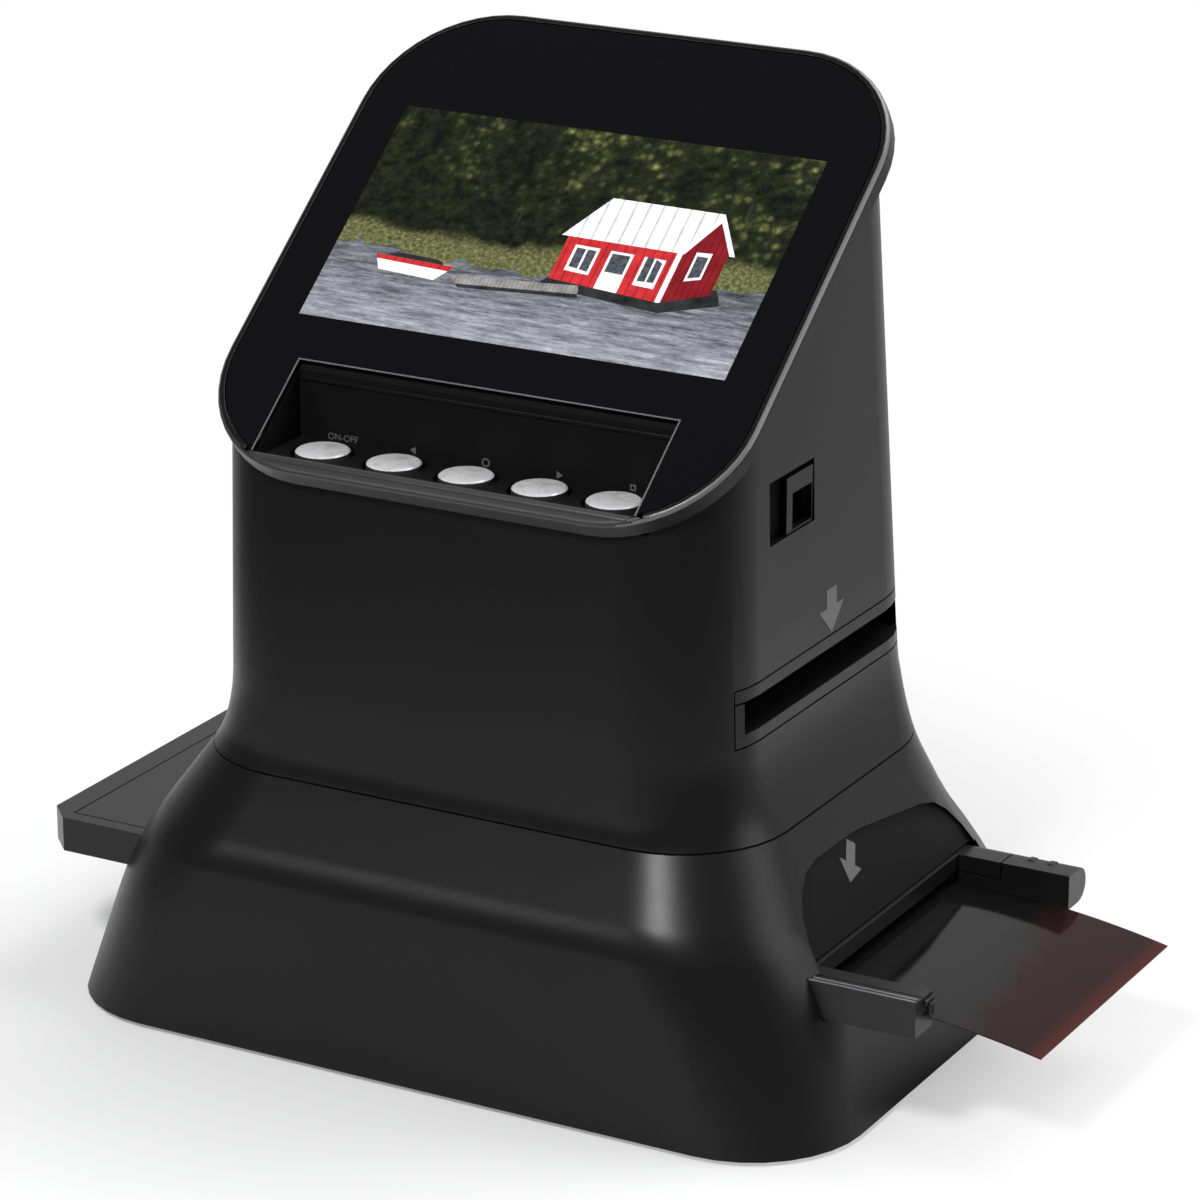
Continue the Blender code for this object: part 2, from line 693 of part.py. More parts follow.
def tower_top():
    """A height above all of the panel."""
    return PANEL_FRONT_HEIGHT + PANEL_LENGTH * math.sin(PANEL_SLOPE) + OVERRUN


def make_upper_housing(panel):
    """Tower: a leaning shell cut off under the panel, open for the slot, the socket and the card."""
    housing = tower_form("upper_housing", 0.0, 0.0, BLACK_PLASTIC)
    combine(housing, tower_form("upper_cavity", TOWER_WALL, OVERRUN))
    combine(housing, top_cutter("upper_top_cut", panel, BEZEL_DEPTH + GAP))
    reach = BASE_HALF
    slot = (
        (-reach, SLEEVE_FRONT_Y - GAP, SLEEVE_BOTTOM - GAP),
        (reach, SLEEVE_REAR_Y + GAP, SLEEVE_TOP + GAP),
    )
    recess_rear = SOCKET_RECESS_FRONT + SOCKET_RECESS_WIDTH
    socket = (
        (TOWER_HALF / 2, SOCKET_RECESS_FRONT, SOCKET_RECESS_BOTTOM),
        (reach, recess_rear, SOCKET_RECESS_BOTTOM + SOCKET_RECESS_HEIGHT),
    )
    card_bottom = BOARD_BOTTOM + BOARD_THICKNESS + GAP
    card = (
        (CARD_CENTRE_X - CARD_WIDTH / 2, TOWER_REAR / 2, card_bottom),
        (CARD_CENTRE_X + CARD_WIDTH / 2, TOWER_REAR + OVERRUN, card_bottom + CARD_SOCKET_HEIGHT),
    )
    combine(housing, blocks("slot_hole", [slot]))
    combine(housing, blocks("socket_and_card_holes", [socket, card]))
    half = KEYPAD_WIDTH / 2 + KEYPAD_WALL + GAP
    rest = KEYPAD_FLOOR_BOTTOM - GAP
    floor_front = under_bezel(KEYPAD_FLOOR_BOTTOM) - GAP
    key_front = KEY_Y - KEY_DIAMETER / 2 - KEY_FLANGE - GAP
    key_bottom = rest - KEY_FLANGE_THICKNESS - KEY_TRAVEL - GAP
    relief = [
        ((-half, floor_front, rest), (half, KEYPAD_BACK_Y, tower_top())),
        ((-half, key_front, key_bottom), (half, KEYPAD_BACK_Y + GAP, rest + KEYPAD_FLOOR)),
    ]
    for index, corners in enumerate(relief):
        combine(housing, blocks("keypad_relief_" + str(index + 1), [corners]))


def under_bezel(height):
    """Y at which the underside of the bezel lies at one height."""
    depth = BEZEL_DEPTH + GAP
    along = (height - PANEL_FRONT_HEIGHT + depth * math.cos(PANEL_SLOPE)) / math.sin(PANEL_SLOPE)
    return PANEL_FRONT_Y + along * math.cos(PANEL_SLOPE) + depth * math.sin(PANEL_SLOPE)


def foot_places():
    """Where the four feet stand."""
    x = BASE_HALF - FOOT_FROM_SIDE
    y = BASE_HALF_DEPTH - FOOT_FROM_FRONT
    return {
        "front_left": (-x, -y),
        "front_right": (x, -y),
        "rear_left": (-x, y),
        "rear_right": (x, y),
    }


def make_base_plate():
    """Plate that closes the base, with its feet and screws."""
    low = (-BASE_HALF, -BASE_HALF_DEPTH, BASE_PLATE_BOTTOM)
    high = (BASE_HALF, BASE_HALF_DEPTH, BASE_PLATE_TOP)
    plate = blocks("base_plate", [(low, high)], INNER_PLASTIC)
    bm = bmesh.new()
    loft(bm, skirt_inside(SKIRT_WALL + GAP))
    combine(plate, add_object("plate_outline", bm), "INTERSECT")
    bm = bmesh.new()
    for x, y in foot_places().values():
        rod(bm, x, y, FOOT_DIAMETER + 2 * GAP, BASE_PLATE_BOTTOM - OVERRUN, BASE_PLATE_BOTTOM + FOOT_SINK)
    for x, y in base_boss_places():
        head_top = BASE_PLATE_BOTTOM + SCREW_HEAD_HEIGHT
        rod(bm, x, y, SCREW_HEAD + 4 * GAP, BASE_PLATE_BOTTOM - OVERRUN, head_top, SCREW_SIDES)
    combine(plate, add_object("plate_recesses", bm))
    places = base_boss_places()
    holes = rods(
        "plate_holes", places, SCREW_HOLE, -OVERRUN, BASE_PLATE_TOP + OVERRUN, sides=SCREW_SIDES
    )
    combine(plate, holes)
    for word, (x, y) in foot_places().items():
        bm = bmesh.new()
        radius = FOOT_DIAMETER / 2
        top = BASE_PLATE_BOTTOM + FOOT_SINK - GAP
        turned(bm, 0.0, 0.0, ((radius - GAP, 0.0), (radius, FOOT_STAND / 2), (radius, top)))
        add_object("foot_" + word, bm, RUBBER, place=(x, y, 0.0))
    screws("base_screw", places, BASE_PLATE_BOTTOM + SCREW_HEAD_HEIGHT - GAP, True)


# Light unit and guide in the base


def make_light_unit():
    """Reflector box with a board of lamps under a diffusing plate."""
    half = LIGHT_BOX_SIZE / 2
    y = LENS_AXIS_Y
    box = blocks(
        "light_box",
        [((-half, y - half, LIGHT_BOX_BOTTOM), (half, y + half, LIGHT_BOX_TOP))],
        WHITE_PLASTIC,
    )
    inner = half - LIGHT_BOX_WALL
    floor = LIGHT_BOX_BOTTOM + LIGHT_BOX_FLOOR
    hollow = [((-inner, y - inner, floor), (inner, y + inner, LIGHT_BOX_TOP + OVERRUN))]
    combine(box, blocks("light_box_hollow", hollow))
    board = inner - GAP
    board_top = floor + GAP + BOARD_THICKNESS
    low = (-board, y - board, floor + GAP)
    led_board = blocks("led_board", [(low, (board, y + board, board_top))], BOARD)
    pitch = 2 * board / LED_ROWS
    bm = bmesh.new()
    for column in range(LED_ROWS):
        for row in range(LED_ROWS):
            x = (column - (LED_ROWS - 1) / 2) * pitch
            across = y + (row - (LED_ROWS - 1) / 2) * pitch
            low = (x - LED_SIZE / 2, across - LED_SIZE / 2, board_top - GAP)
            high = (x + LED_SIZE / 2, across + LED_SIZE / 2, board_top + LED_HEIGHT)
            block(bm, low, high)
    combine(led_board, add_object("led_lamps", bm), "UNION")
    bottom = LIGHT_BOX_TOP + GAP
    plate = [((-half, y - half, bottom), (half, y + half, bottom + DIFFUSER_THICKNESS))]
    blocks("diffuser", plate, WHITE_PLASTIC)


def guide_post_places():
    """Where the guide's legs stand, outside the light box."""
    x = LIGHT_BOX_SIZE / 2 + GUIDE_LEG * 2
    front = MOUTH_FRONT_Y - GUIDE_RAIL / 2
    rear = MOUTH_REAR_Y + GUIDE_RAIL / 2
    return [(sx * x, y) for sx in (-1, 1) for y in (front, rear)]


def light_window(name, width, depth, bottom, top):
    """An opening for the light, round the lens axis."""
    low = (-width / 2, LENS_AXIS_Y - depth / 2, bottom - OVERRUN)
    high = (width / 2, LENS_AXIS_Y + depth / 2, top + OVERRUN)
    return blocks(name, [(low, high)])


def make_holder_guide():
    """Channel on four legs that the holder slides in, and the plate over it."""
    half = GUIDE_LENGTH / 2
    front = MOUTH_FRONT_Y - GUIDE_RAIL
    rear = MOUTH_REAR_Y + GUIDE_RAIL
    rail_top = MOUTH_TOP - GAP
    guide = blocks(
        "holder_guide", [((-half, front, GUIDE_FLOOR_BOTTOM), (half, rear, rail_top))], INNER_PLASTIC
    )
    legs = rods(
        "guide_legs", guide_post_places(), GUIDE_LEG, BASE_PLATE_TOP + GAP, MOUTH_BOTTOM - GUIDE_FLOOR / 2
    )
    combine(guide, legs, "UNION")
    reach = half + OVERRUN
    channel = [((-reach, MOUTH_FRONT_Y, MOUTH_BOTTOM), (reach, MOUTH_REAR_Y, rail_top + OVERRUN))]
    combine(guide, blocks("guide_channel", channel))
    window = light_window("guide_window", LOWER_WINDOW, LOWER_WINDOW, GUIDE_FLOOR_BOTTOM, MOUTH_BOTTOM)
    combine(guide, window)
    bm = bmesh.new()
    loft(bm, skirt_inside(SKIRT_WALL + GAP))
    room = add_object("guide_room", bm)
    combine(guide, room, "INTERSECT")
    cover = [((-half, front, GUIDE_COVER_BOTTOM), (half, rear, GUIDE_COVER_TOP))]
    plate = blocks("guide_cover", cover, INNER_PLASTIC)
    window = light_window(
        "cover_window", LOWER_WINDOW, LOWER_WINDOW, GUIDE_COVER_BOTTOM, GUIDE_COVER_TOP
    )
    combine(plate, window)
    combine(plate, room, "INTERSECT")


def rectangle(width, depth, height):
    """Corner points of a rectangle round the lens axis."""
    half = width / 2
    front = LENS_AXIS_Y - depth / 2
    rear = LENS_AXIS_Y + depth / 2
    return [Vector((x, y, height)) for x, y in ((-half, front), (half, front), (half, rear), (-half, rear))]


def make_light_shaft(name, bottom, low_size, top, high_size):
    """A tapering square tube between two openings, with a flange at its foot."""
    flange = 2 * (SHAFT_WALL + SHAFT_FLANGE)
    wall = 2 * SHAFT_WALL
    bm = bmesh.new()
    foot = bottom + SHAFT_WALL
    loft(
        bm,
        [
            rectangle(low_size[0] + flange, low_size[1] + flange, bottom),
            rectangle(low_size[0] + flange, low_size[1] + flange, foot),
            rectangle(low_size[0] + wall, low_size[1] + wall, foot),
            rectangle(high_size[0] + wall, high_size[1] + wall, top),
        ],
    )
    shaft = add_object(name, bm, INNER_PLASTIC)
    bm = bmesh.new()
    loft(
        bm,
        [
            rectangle(low_size[0], low_size[1], bottom - OVERRUN),
            rectangle(low_size[0], low_size[1], foot),
            rectangle(high_size[0], high_size[1], top),
            rectangle(high_size[0], high_size[1], top + OVERRUN),
        ],
    )
    combine(shaft, add_object(name + "_bore", bm))


# Slot through the tower


def make_slot_sleeve():
    """Channel and cover of the slot, whose ends follow the tower's outside."""
    reach = BASE_HALF
    trim = tower_form("tower_trim", 0.0, 0.0)
    low = (-reach, SLEEVE_FRONT_Y, SLEEVE_BOTTOM)
    channel = blocks("slot_channel", [(low, (reach, SLEEVE_REAR_Y, SLOT_TOP))], BLACK_PLASTIC)
    inside = ((-reach * 2, -SLOT_FRONT, SLOT_BOTTOM), (reach * 2, SLOT_REAR, SLOT_TOP + OVERRUN))
    combine(channel, blocks("slot_space", [inside]))
    combine(channel, trim, "INTERSECT")
    window = light_window(
        "channel_window", UPPER_WINDOW_WIDTH, UPPER_WINDOW_DEPTH, SLEEVE_BOTTOM, SLOT_BOTTOM
    )
    combine(channel, window)
    low = (-reach, SLEEVE_FRONT_Y, SLOT_TOP + GAP)
    cover = blocks("slot_cover", [(low, (reach, SLEEVE_REAR_Y, SLEEVE_TOP))], BLACK_PLASTIC)
    combine(cover, trim, "INTERSECT")
    window = light_window("slot_window", UPPER_WINDOW_WIDTH, UPPER_WINDOW_DEPTH, SLOT_TOP, SLEEVE_TOP)
    combine(cover, window)


# Camera unit


def bracket_post_places():
    """Where the posts of the camera bracket stand on the deck."""
    x = BRACKET_WIDTH / 2 - BRACKET_POST / 2
    y = BRACKET_DEPTH / 2 - BRACKET_POST / 2
    return [(sx * x, LENS_AXIS_Y + sy * y) for sx in (-1, 1) for sy in (-1, 1)]


def main_board_outline():
    """Outline of the main board: along the right wall, with an arm for the card socket."""
    left = BRACKET_WIDTH / 2 + BRACKET_POST / 2
    right = TOWER_HALF - TOWER_WALL - SIDE_DRAFT * DECK_HEIGHT
    rear = SLOT_REAR
    arm = CARD_CENTRE_X - CARD_WIDTH / 2 - BOARD_THICKNESS
    arm_front = LENS_AXIS_Y + BRACKET_DEPTH / 2 + BOARD_THICKNESS
    front = -SLOT_FRONT
    chamfer = TOWER_CORNER / 2
    return [
        (left, front),
        (right - chamfer, front),
        (right, front + chamfer),
        (right, rear - TOWER_CORNER),
        (right - chamfer, rear - chamfer / 2),
        (right - TOWER_CORNER, rear),
        (arm, rear),
        (arm, arm_front),
        (left, arm_front),
    ]


def board_screw_places():
    """Where the main board is screwed to the deck."""
    left = BRACKET_WIDTH / 2 + BRACKET_POST / 2 + SCREW_HEAD
    right = TOWER_HALF - TOWER_WALL - TOWER_CORNER / 2 - SCREW_HEAD
    return [(left, -SLOT_FRONT + SCREW_HEAD), (right, -SLOT_FRONT + SCREW_HEAD), (right, SLOT_REAR / 2)]


def make_camera_unit():
    """Deck on legs, with posts that carry the bracket, lens, sensor and main board."""
    bm = bmesh.new()
    outline = section(DECK_TOP, TOWER_WALL + GAP)
    prism(bm, outline, DECK_HEIGHT, DECK_TOP)
    deck = add_object("camera_deck", bm, INNER_PLASTIC)
    x = TOWER_HALF - TOWER_WALL - DECK_POST_FROM_WALL
    rows = (-SLOT_FRONT + DECK_POST, SLOT_REAR - TOWER_CORNER / 2)
    legs = [(sx * x, y) for sx in (-1, 1) for y in rows]
    combine(deck, rods("deck_legs", legs, DECK_POST, SLEEVE_TOP + GAP, DECK_HEIGHT + GAP), "UNION")
    posts = bracket_post_places()
    combine(
        deck, rods("bracket_posts", posts, BRACKET_POST, DECK_TOP - GAP, BRACKET_HEIGHT - GAP), "UNION"
    )
    pads = board_screw_places()
    combine(deck, rods("board_pads", pads, BRACKET_POST, DECK_TOP - GAP, BOARD_BOTTOM - GAP), "UNION")
    size = UPPER_WINDOW_WIDTH * DECK_WINDOW_SHARE
    combine(deck, light_window("deck_window", size, size, DECK_HEIGHT, DECK_TOP))
    bm = bmesh.new()
    for px, py in posts:
        top = BRACKET_HEIGHT + OVERRUN
        rod(bm, px, py, SCREW_HOLE, BRACKET_HEIGHT - SCREW_LENGTH, top, SCREW_SIDES)
    for px, py in pads:
        rod(bm, px, py, SCREW_HOLE, DECK_HEIGHT - SCREW_LENGTH, BOARD_BOTTOM + GAP, SCREW_SIDES)
    combine(deck, add_object("deck_holes", bm))

    half = BRACKET_WIDTH / 2
    front = LENS_AXIS_Y - BRACKET_DEPTH / 2
    rear = LENS_AXIS_Y + BRACKET_DEPTH / 2
    bracket_top = BRACKET_HEIGHT + BRACKET_THICKNESS
    bracket = blocks(
        "camera_bracket", [((-half, front, BRACKET_HEIGHT), (half, rear, bracket_top))], INNER_PLASTIC
    )
    hole = SENSOR_SIZE + 2 * GAP
    combine(bracket, light_window("sensor_hole", hole, hole, BRACKET_HEIGHT, bracket_top))
    holes = rods(
        "bracket_holes",
        posts,
        SCREW_HOLE,
        BRACKET_HEIGHT - OVERRUN,
        bracket_top + OVERRUN,
        sides=SCREW_SIDES,
    )
    combine(bracket, holes)
    screws("bracket_screw", posts, bracket_top + GAP, False)

    flange_top = BRACKET_HEIGHT - GAP
    bottom = flange_top - LENS_LENGTH
    radius = LENS_DIAMETER / 2
    flange = radius + LENS_FLANGE
    bm = bmesh.new()
    grip_top = bottom + LENS_LENGTH / 3
    profile = (
        (radius - GAP, bottom),
        (radius, bottom + GAP),
        (radius, grip_top),
        (radius - GAP * 2, grip_top + GAP),
        (radius - GAP * 2, flange_top - LENS_FLANGE),
        (flange, flange_top - LENS_FLANGE),
        (flange, flange_top),
    )
    turned(bm, 0.0, LENS_AXIS_Y, profile)
    barrel = add_object("lens_barrel", bm, INNER_PLASTIC)
    bore = LENS_BORE / 2
    bm = bmesh.new()
    seat = bottom + LENS_LENGTH / 4
    profile = (
        (bore, bottom - OVERRUN),
        (bore, seat),
        (bore - LENS_FLANGE, seat),
        (bore - LENS_FLANGE, flange_top + OVERRUN),
    )
    turned(bm, 0.0, LENS_AXIS_Y, profile)
    combine(barrel, add_object("lens_bore", bm))
    bm = bmesh.new()
    rim = bore - GAP
    glass_top = seat - GAP
    profile = [(rim * reach, glass_top - LENS_FLANGE * depth) for reach, depth in LENS_GLASS_SHARES]
    turned(bm, 0.0, LENS_AXIS_Y, profile)
    add_object("lens_glass", bm, CLEAR_GLASS)

    half = SENSOR_BOARD / 2
    y = LENS_AXIS_Y
    low = bracket_top + GAP
    blocks("sensor_board", [((-half, y - half, low), (half, y + half, low + BOARD_THICKNESS))], BOARD)
    half = SENSOR_SIZE / 2
    chip_top = bracket_top
    chip = [((-half, y - half, BRACKET_HEIGHT + GAP), (half, y + half, chip_top))]
    blocks("image_sensor", chip, CHIP)


def make_main_board():
    """Main board with its chips, data socket and card socket."""
    bm = bmesh.new()
    top = BOARD_BOTTOM + BOARD_THICKNESS
    prism(bm, main_board_outline(), BOARD_BOTTOM, top)
    board = add_object("main_board", bm, BOARD)
    pads = board_screw_places()
    holes = rods(
        "board_holes", pads, SCREW_HOLE, BOARD_BOTTOM - OVERRUN, top + OVERRUN, sides=SCREW_SIDES
    )
    combine(board, holes)
    screws("board_screw", pads, top + GAP, False)

    x = BRACKET_WIDTH / 2 + BRACKET_POST
    chips = []
    for along_share, across_share, size_share in CHIP_SHARES:
        low = Vector((x + SENSOR_SIZE * along_share, SENSOR_SIZE * across_share, top - GAP))
        size = SENSOR_SIZE * size_share
        chips.append((low, low + Vector((size, size, GAP + LED_HEIGHT))))
    combine(board, blocks("board_chips", chips), "UNION")
    seat = top + GAP

    wall = tower_inner_x(SOCKET_RECESS_BOTTOM + SOCKET_RECESS_HEIGHT)
    surround_outer = wall - GAP
    surround_inner = surround_outer - SURROUND_THICKNESS
    margin = SURROUND_MARGIN
    bottom = seat
    top = SOCKET_RECESS_BOTTOM + SOCKET_RECESS_HEIGHT + margin
    front = SOCKET_RECESS_FRONT - margin
    rear = SOCKET_RECESS_FRONT + SOCKET_RECESS_WIDTH + margin
    surround = blocks(
        "socket_surround", [((surround_inner, front, bottom), (surround_outer, rear, top))], BLACK_PLASTIC
    )
    hole_rear = SOCKET_HOLE_FRONT + SOCKET_HOLE_WIDTH
    hole_top = SOCKET_HOLE_BOTTOM + SOCKET_HOLE_HEIGHT
    low = (surround_inner, SOCKET_RECESS_FRONT + GAP, SOCKET_RECESS_BOTTOM + GAP)
    high = (
        wall + TOWER_WALL - SOCKET_SINK,
        SOCKET_RECESS_FRONT + SOCKET_RECESS_WIDTH - GAP,
        SOCKET_RECESS_BOTTOM + SOCKET_RECESS_HEIGHT - GAP,
    )
    combine(surround, blocks("surround_pad", [(low, high)]), "UNION")
    low = (0.0, SOCKET_HOLE_FRONT, SOCKET_HOLE_BOTTOM)
    combine(surround, blocks("surround_hole", [(low, (BASE_HALF, hole_rear, hole_top))]))
    shell_front = SOCKET_HOLE_FRONT - SOCKET_SHELL
    shell_rear = hole_rear + SOCKET_SHELL
    shell_outer = surround_inner - GAP
    low = (shell_outer - SOCKET_LENGTH, shell_front, SOCKET_HOLE_BOTTOM - SOCKET_SHELL)
    shell = blocks("data_socket", [(low, (shell_outer, shell_rear, hole_top + SOCKET_SHELL))], STEEL)
    low = (shell_outer - SOCKET_LENGTH + SOCKET_SHELL, SOCKET_HOLE_FRONT, SOCKET_HOLE_BOTTOM)
    combine(shell, blocks("socket_bore", [(low, (BASE_HALF, hole_rear, hole_top))]))
    beside = SOCKET_HOLE_WIDTH / 6
    low = (
        shell_outer - SOCKET_LENGTH + SOCKET_SHELL + GAP,
        SOCKET_HOLE_FRONT + beside,
        SOCKET_HOLE_BOTTOM + SOCKET_HOLE_HEIGHT / 3,
    )
    high = (shell_outer - SOCKET_TONGUE_BACK, hole_rear - beside, hole_top - SOCKET_HOLE_HEIGHT / 3)
    blocks("socket_tongue", [(low, high)], WHITE_PLASTIC)

    half = CARD_WIDTH / 2
    card_rear = tower_inner_rear(seat + CARD_SOCKET_HEIGHT) - GAP
    low = (CARD_CENTRE_X - half - GAP, card_rear - CARD_SOCKET_LENGTH, seat)
    high = (CARD_CENTRE_X + half + GAP, card_rear, seat + CARD_SOCKET_HEIGHT)
    socket = blocks("card_socket", [(low, high)], STEEL)
    lip = (CARD_SOCKET_HEIGHT - CARD_THICKNESS) / 2
    low = (CARD_CENTRE_X - half + SOCKET_SHELL, card_rear - CARD_SOCKET_LENGTH + SOCKET_SHELL, seat + lip)
    high = (CARD_CENTRE_X + half - SOCKET_SHELL, BASE_HALF, seat + CARD_SOCKET_HEIGHT - lip)
    combine(socket, blocks("card_space", [(low, high)]))


def tower_inner_x(height):
    """Half the width inside the tower at one height."""
    return TOWER_HALF - SIDE_DRAFT * (height - LEAN_HEIGHT) - TOWER_WALL


def tower_inner_rear(height):
    """Where the inside of the tower's back wall stands at one height."""
    return TOWER_REAR - REAR_DRAFT * (height - LEAN_HEIGHT) - TOWER_WALL


# Panel, screen and keypad


def panel_outline(inset):
    """Outline of the panel in its own frame, drawn in by inset all round."""
    half = PANEL_WIDTH / 2 - inset
    far = PANEL_LENGTH - inset
    radius = PANEL_CORNER - inset
    return rounded_outline(-half, half, inset, far, (radius, radius), PANEL_CORNER_STEPS)


def window_form(name, clear, bottom, top, look, panel):
    """The panel's window, open round the keypad recess, grown by clear all round."""
    bm = bmesh.new()
    prism(bm, panel_outline(BEZEL_RIM - clear), bottom, top)
    form = add_object(name, bm, look, panel)
    half = KEYPAD_WIDTH / 2 - clear
    low = (-half, -OVERRUN, bottom - OVERRUN)
    high = (half, KEYPAD_TOP_FROM_EDGE - clear, top + OVERRUN)
    combine(form, blocks(name + "_notch", [(low, high)], parent=panel))
    return form


def make_panel(panel):
    """Bezel, window and screen, all lying in the tilted frame of the panel."""
    bm = bmesh.new()
    rings = []
    levels = [(0.0, -BEZEL_DEPTH)]
    for step in range(ARC_STEPS + 1):
        angle = math.pi / 2 * step / ARC_STEPS
        inset = BEZEL_ROUND * (1 - math.cos(angle))
        levels.append((inset, -BEZEL_ROUND * (1 - math.sin(angle))))
    for inset, depth in levels:
        rings.append([Vector((point.x, point.y, depth)) for point in panel_outline(inset)])
    loft(bm, rings)
    bezel = add_object("panel_bezel", bm, BLACK_PLASTIC, panel)

    combine(bezel, window_form("window_seat", 0.0, WINDOW_BOTTOM - GAP, OVERRUN, None, panel))
    half = KEYPAD_WIDTH / 2 + KEYPAD_WALL + GAP
    back = KEYPAD_TOP_FROM_EDGE + KEYPAD_WALL
    low = (-half, KEYPAD_LIP, -BEZEL_DEPTH - OVERRUN)
    combine(bezel, blocks("keypad_hole", [(low, (half, back, OVERRUN))], parent=panel))
    screen_middle = SCREEN_FROM_EDGE + SCREEN_HEIGHT / 2
    half = SCREEN_WIDTH / 2 + SCREEN_FRAME_MARGIN
    rise = SCREEN_HEIGHT / 2 + SCREEN_FRAME_MARGIN
    low = (-half - GAP, screen_middle - rise - GAP, -BEZEL_DEPTH - OVERRUN)
    high = (half + GAP, screen_middle + rise + GAP, OVERRUN)
    combine(bezel, blocks("screen_hole", [(low, high)], parent=panel))

    window_form("panel_window", -GAP, WINDOW_BOTTOM, -WINDOW_SINK, GLOSS_BLACK, panel)

    top = WINDOW_BOTTOM - GAP
    low = (-half, screen_middle - rise, top - SCREEN_FRAME_DEPTH)
    frame = blocks("screen_frame", [(low, (half, screen_middle + rise, top))], STEEL, panel)
    half = SCREEN_WIDTH / 2 + SCREEN_GLASS_MARGIN
    rise = SCREEN_HEIGHT / 2 + SCREEN_GLASS_MARGIN
    low = (-half - GAP, screen_middle - rise - GAP, top - SCREEN_GLASS_THICKNESS - GAP)
    high = (half + GAP, screen_middle + rise + GAP, OVERRUN)
    combine(frame, blocks("glass_seat", [(low, high)], parent=panel))
    low = (-half, screen_middle - rise, top - SCREEN_GLASS_THICKNESS)
    blocks("screen_glass", [(low, (half, screen_middle + rise, top))], CLEAR_GLASS, panel)


def key_places():
    """X of each key, from left to right."""
    return [(index - (KEY_COUNT - 1) / 2) * KEY_PITCH for index in range(KEY_COUNT)]


def key_post_places():
    """Posts between the keys that carry the key board."""
    y = KEY_Y + KEY_BOARD_DEPTH / 2 - KEY_POST_DIAMETER / 2
    return [(x + KEY_PITCH / 2, y) for x in key_places()[:-1]]


def make_keypad(panel):
    """Tray of the keypad recess, with its keys, switches and board."""
    half = KEYPAD_WIDTH / 2 + KEYPAD_WALL
    low = (-half, PANEL_FRONT_Y, KEYPAD_FLOOR_BOTTOM)
    top = PANEL_FRONT_HEIGHT + KEYPAD_BACK_REACH
    tray = blocks("keypad_tray", [(low, (half, KEYPAD_BACK_Y + KEYPAD_WALL, top))], BLACK_PLASTIC)
    inner = KEYPAD_WIDTH / 2
    low = (-inner, PANEL_FRONT_Y - OVERRUN, KEYPAD_FLOOR_HEIGHT)
    combine(tray, blocks("keypad_space", [(low, (inner, KEYPAD_BACK_Y, top + OVERRUN))]))
    combine(tray, top_cutter("keypad_top_cut", panel, -WINDOW_BOTTOM + GAP))
    low = (-PANEL_WIDTH, -OVERRUN * 2, -BEZEL_DEPTH - GAP)
    high = (PANEL_WIDTH, KEYPAD_LIP + GAP, OVERRUN)
    combine(tray, blocks("lip_cut", [(low, high)], parent=panel))
    posts = rods(
        "key_posts",
        key_post_places(),
        KEY_POST_DIAMETER,
        KEY_BOARD_TOP + GAP,
        KEYPAD_FLOOR_BOTTOM + GAP,
        sides=SCREW_SIDES,
    )
    combine(tray, posts, "UNION")
    bm = bmesh.new()
    for x in key_places():
        hole = KEY_DIAMETER + 2 * GAP
        top = KEYPAD_FLOOR_HEIGHT + OVERRUN
        rod(bm, x, KEY_Y, hole, KEYPAD_FLOOR_BOTTOM - OVERRUN, top, KEY_SIDES)
    combine(tray, add_object("key_holes", bm))

    radius = KEY_DIAMETER / 2
    cap_top = KEYPAD_FLOOR_HEIGHT + KEY_PROUD
    flange_top = KEYPAD_FLOOR_BOTTOM - GAP
    flange_bottom = flange_top - KEY_FLANGE_THICKNESS
    for index, x in enumerate(key_places()):
        profile = [
            (KEY_STEM_DIAMETER / 2, KEY_STEM_BOTTOM),
            (KEY_STEM_DIAMETER / 2, flange_bottom),
            (radius + KEY_FLANGE, flange_bottom),
            (radius + KEY_FLANGE, flange_top),
            (radius, flange_top),
            (radius, cap_top - KEY_DOME),
            (radius - KEY_DOME, cap_top - KEY_DOME / 4),
            (radius / 2, cap_top),
        ]
        local = [(reach, height - KEYPAD_FLOOR_HEIGHT) for reach, height in profile]
        bm = bmesh.new()
        turned(bm, 0.0, 0.0, local, KEY_SIDES)
        add_object("key_" + str(index + 1), bm, SILVER, place=(x, KEY_Y, KEYPAD_FLOOR_HEIGHT))

    half = KEY_BOARD_WIDTH / 2
    front = KEY_Y - KEY_BOARD_DEPTH / 2
    bottom = KEY_BOARD_TOP - BOARD_THICKNESS
    board = [((-half, front, bottom), (half, front + KEY_BOARD_DEPTH, KEY_BOARD_TOP))]
    blocks("key_board", board, BOARD)
    size = KEY_SWITCH_SIZE / 2
    top = KEY_SWITCH_BODY
    plunger = KEY_STEM_DIAMETER / 2 - GAP
    corners = ((-size, -size), (size, -size), (size, size), (-size, size))
    for index, x in enumerate(key_places()):
        bm = bmesh.new()
        prism(bm, corners, 0.0, top)
        name = "key_switch_" + str(index + 1)
        switch = add_object(name, bm, CHIP, place=(x, KEY_Y, KEY_BOARD_TOP + GAP))
        bm = bmesh.new()
        turned(bm, 0.0, 0.0, ((plunger, top - GAP), (plunger, top + KEY_SWITCH_PLUNGER)), SCREW_SIDES)
        combine(switch, add_object(name + "_plunger", bm, parent=switch), "UNION")


# Film holder


def hinge_axis():
    """Where the hinge pin of the holder lies, as (y, z) in the holder's own frame."""
    radius = HOLDER_THICKNESS / 2
    return HOLDER_WIDTH / 2 - radius, radius


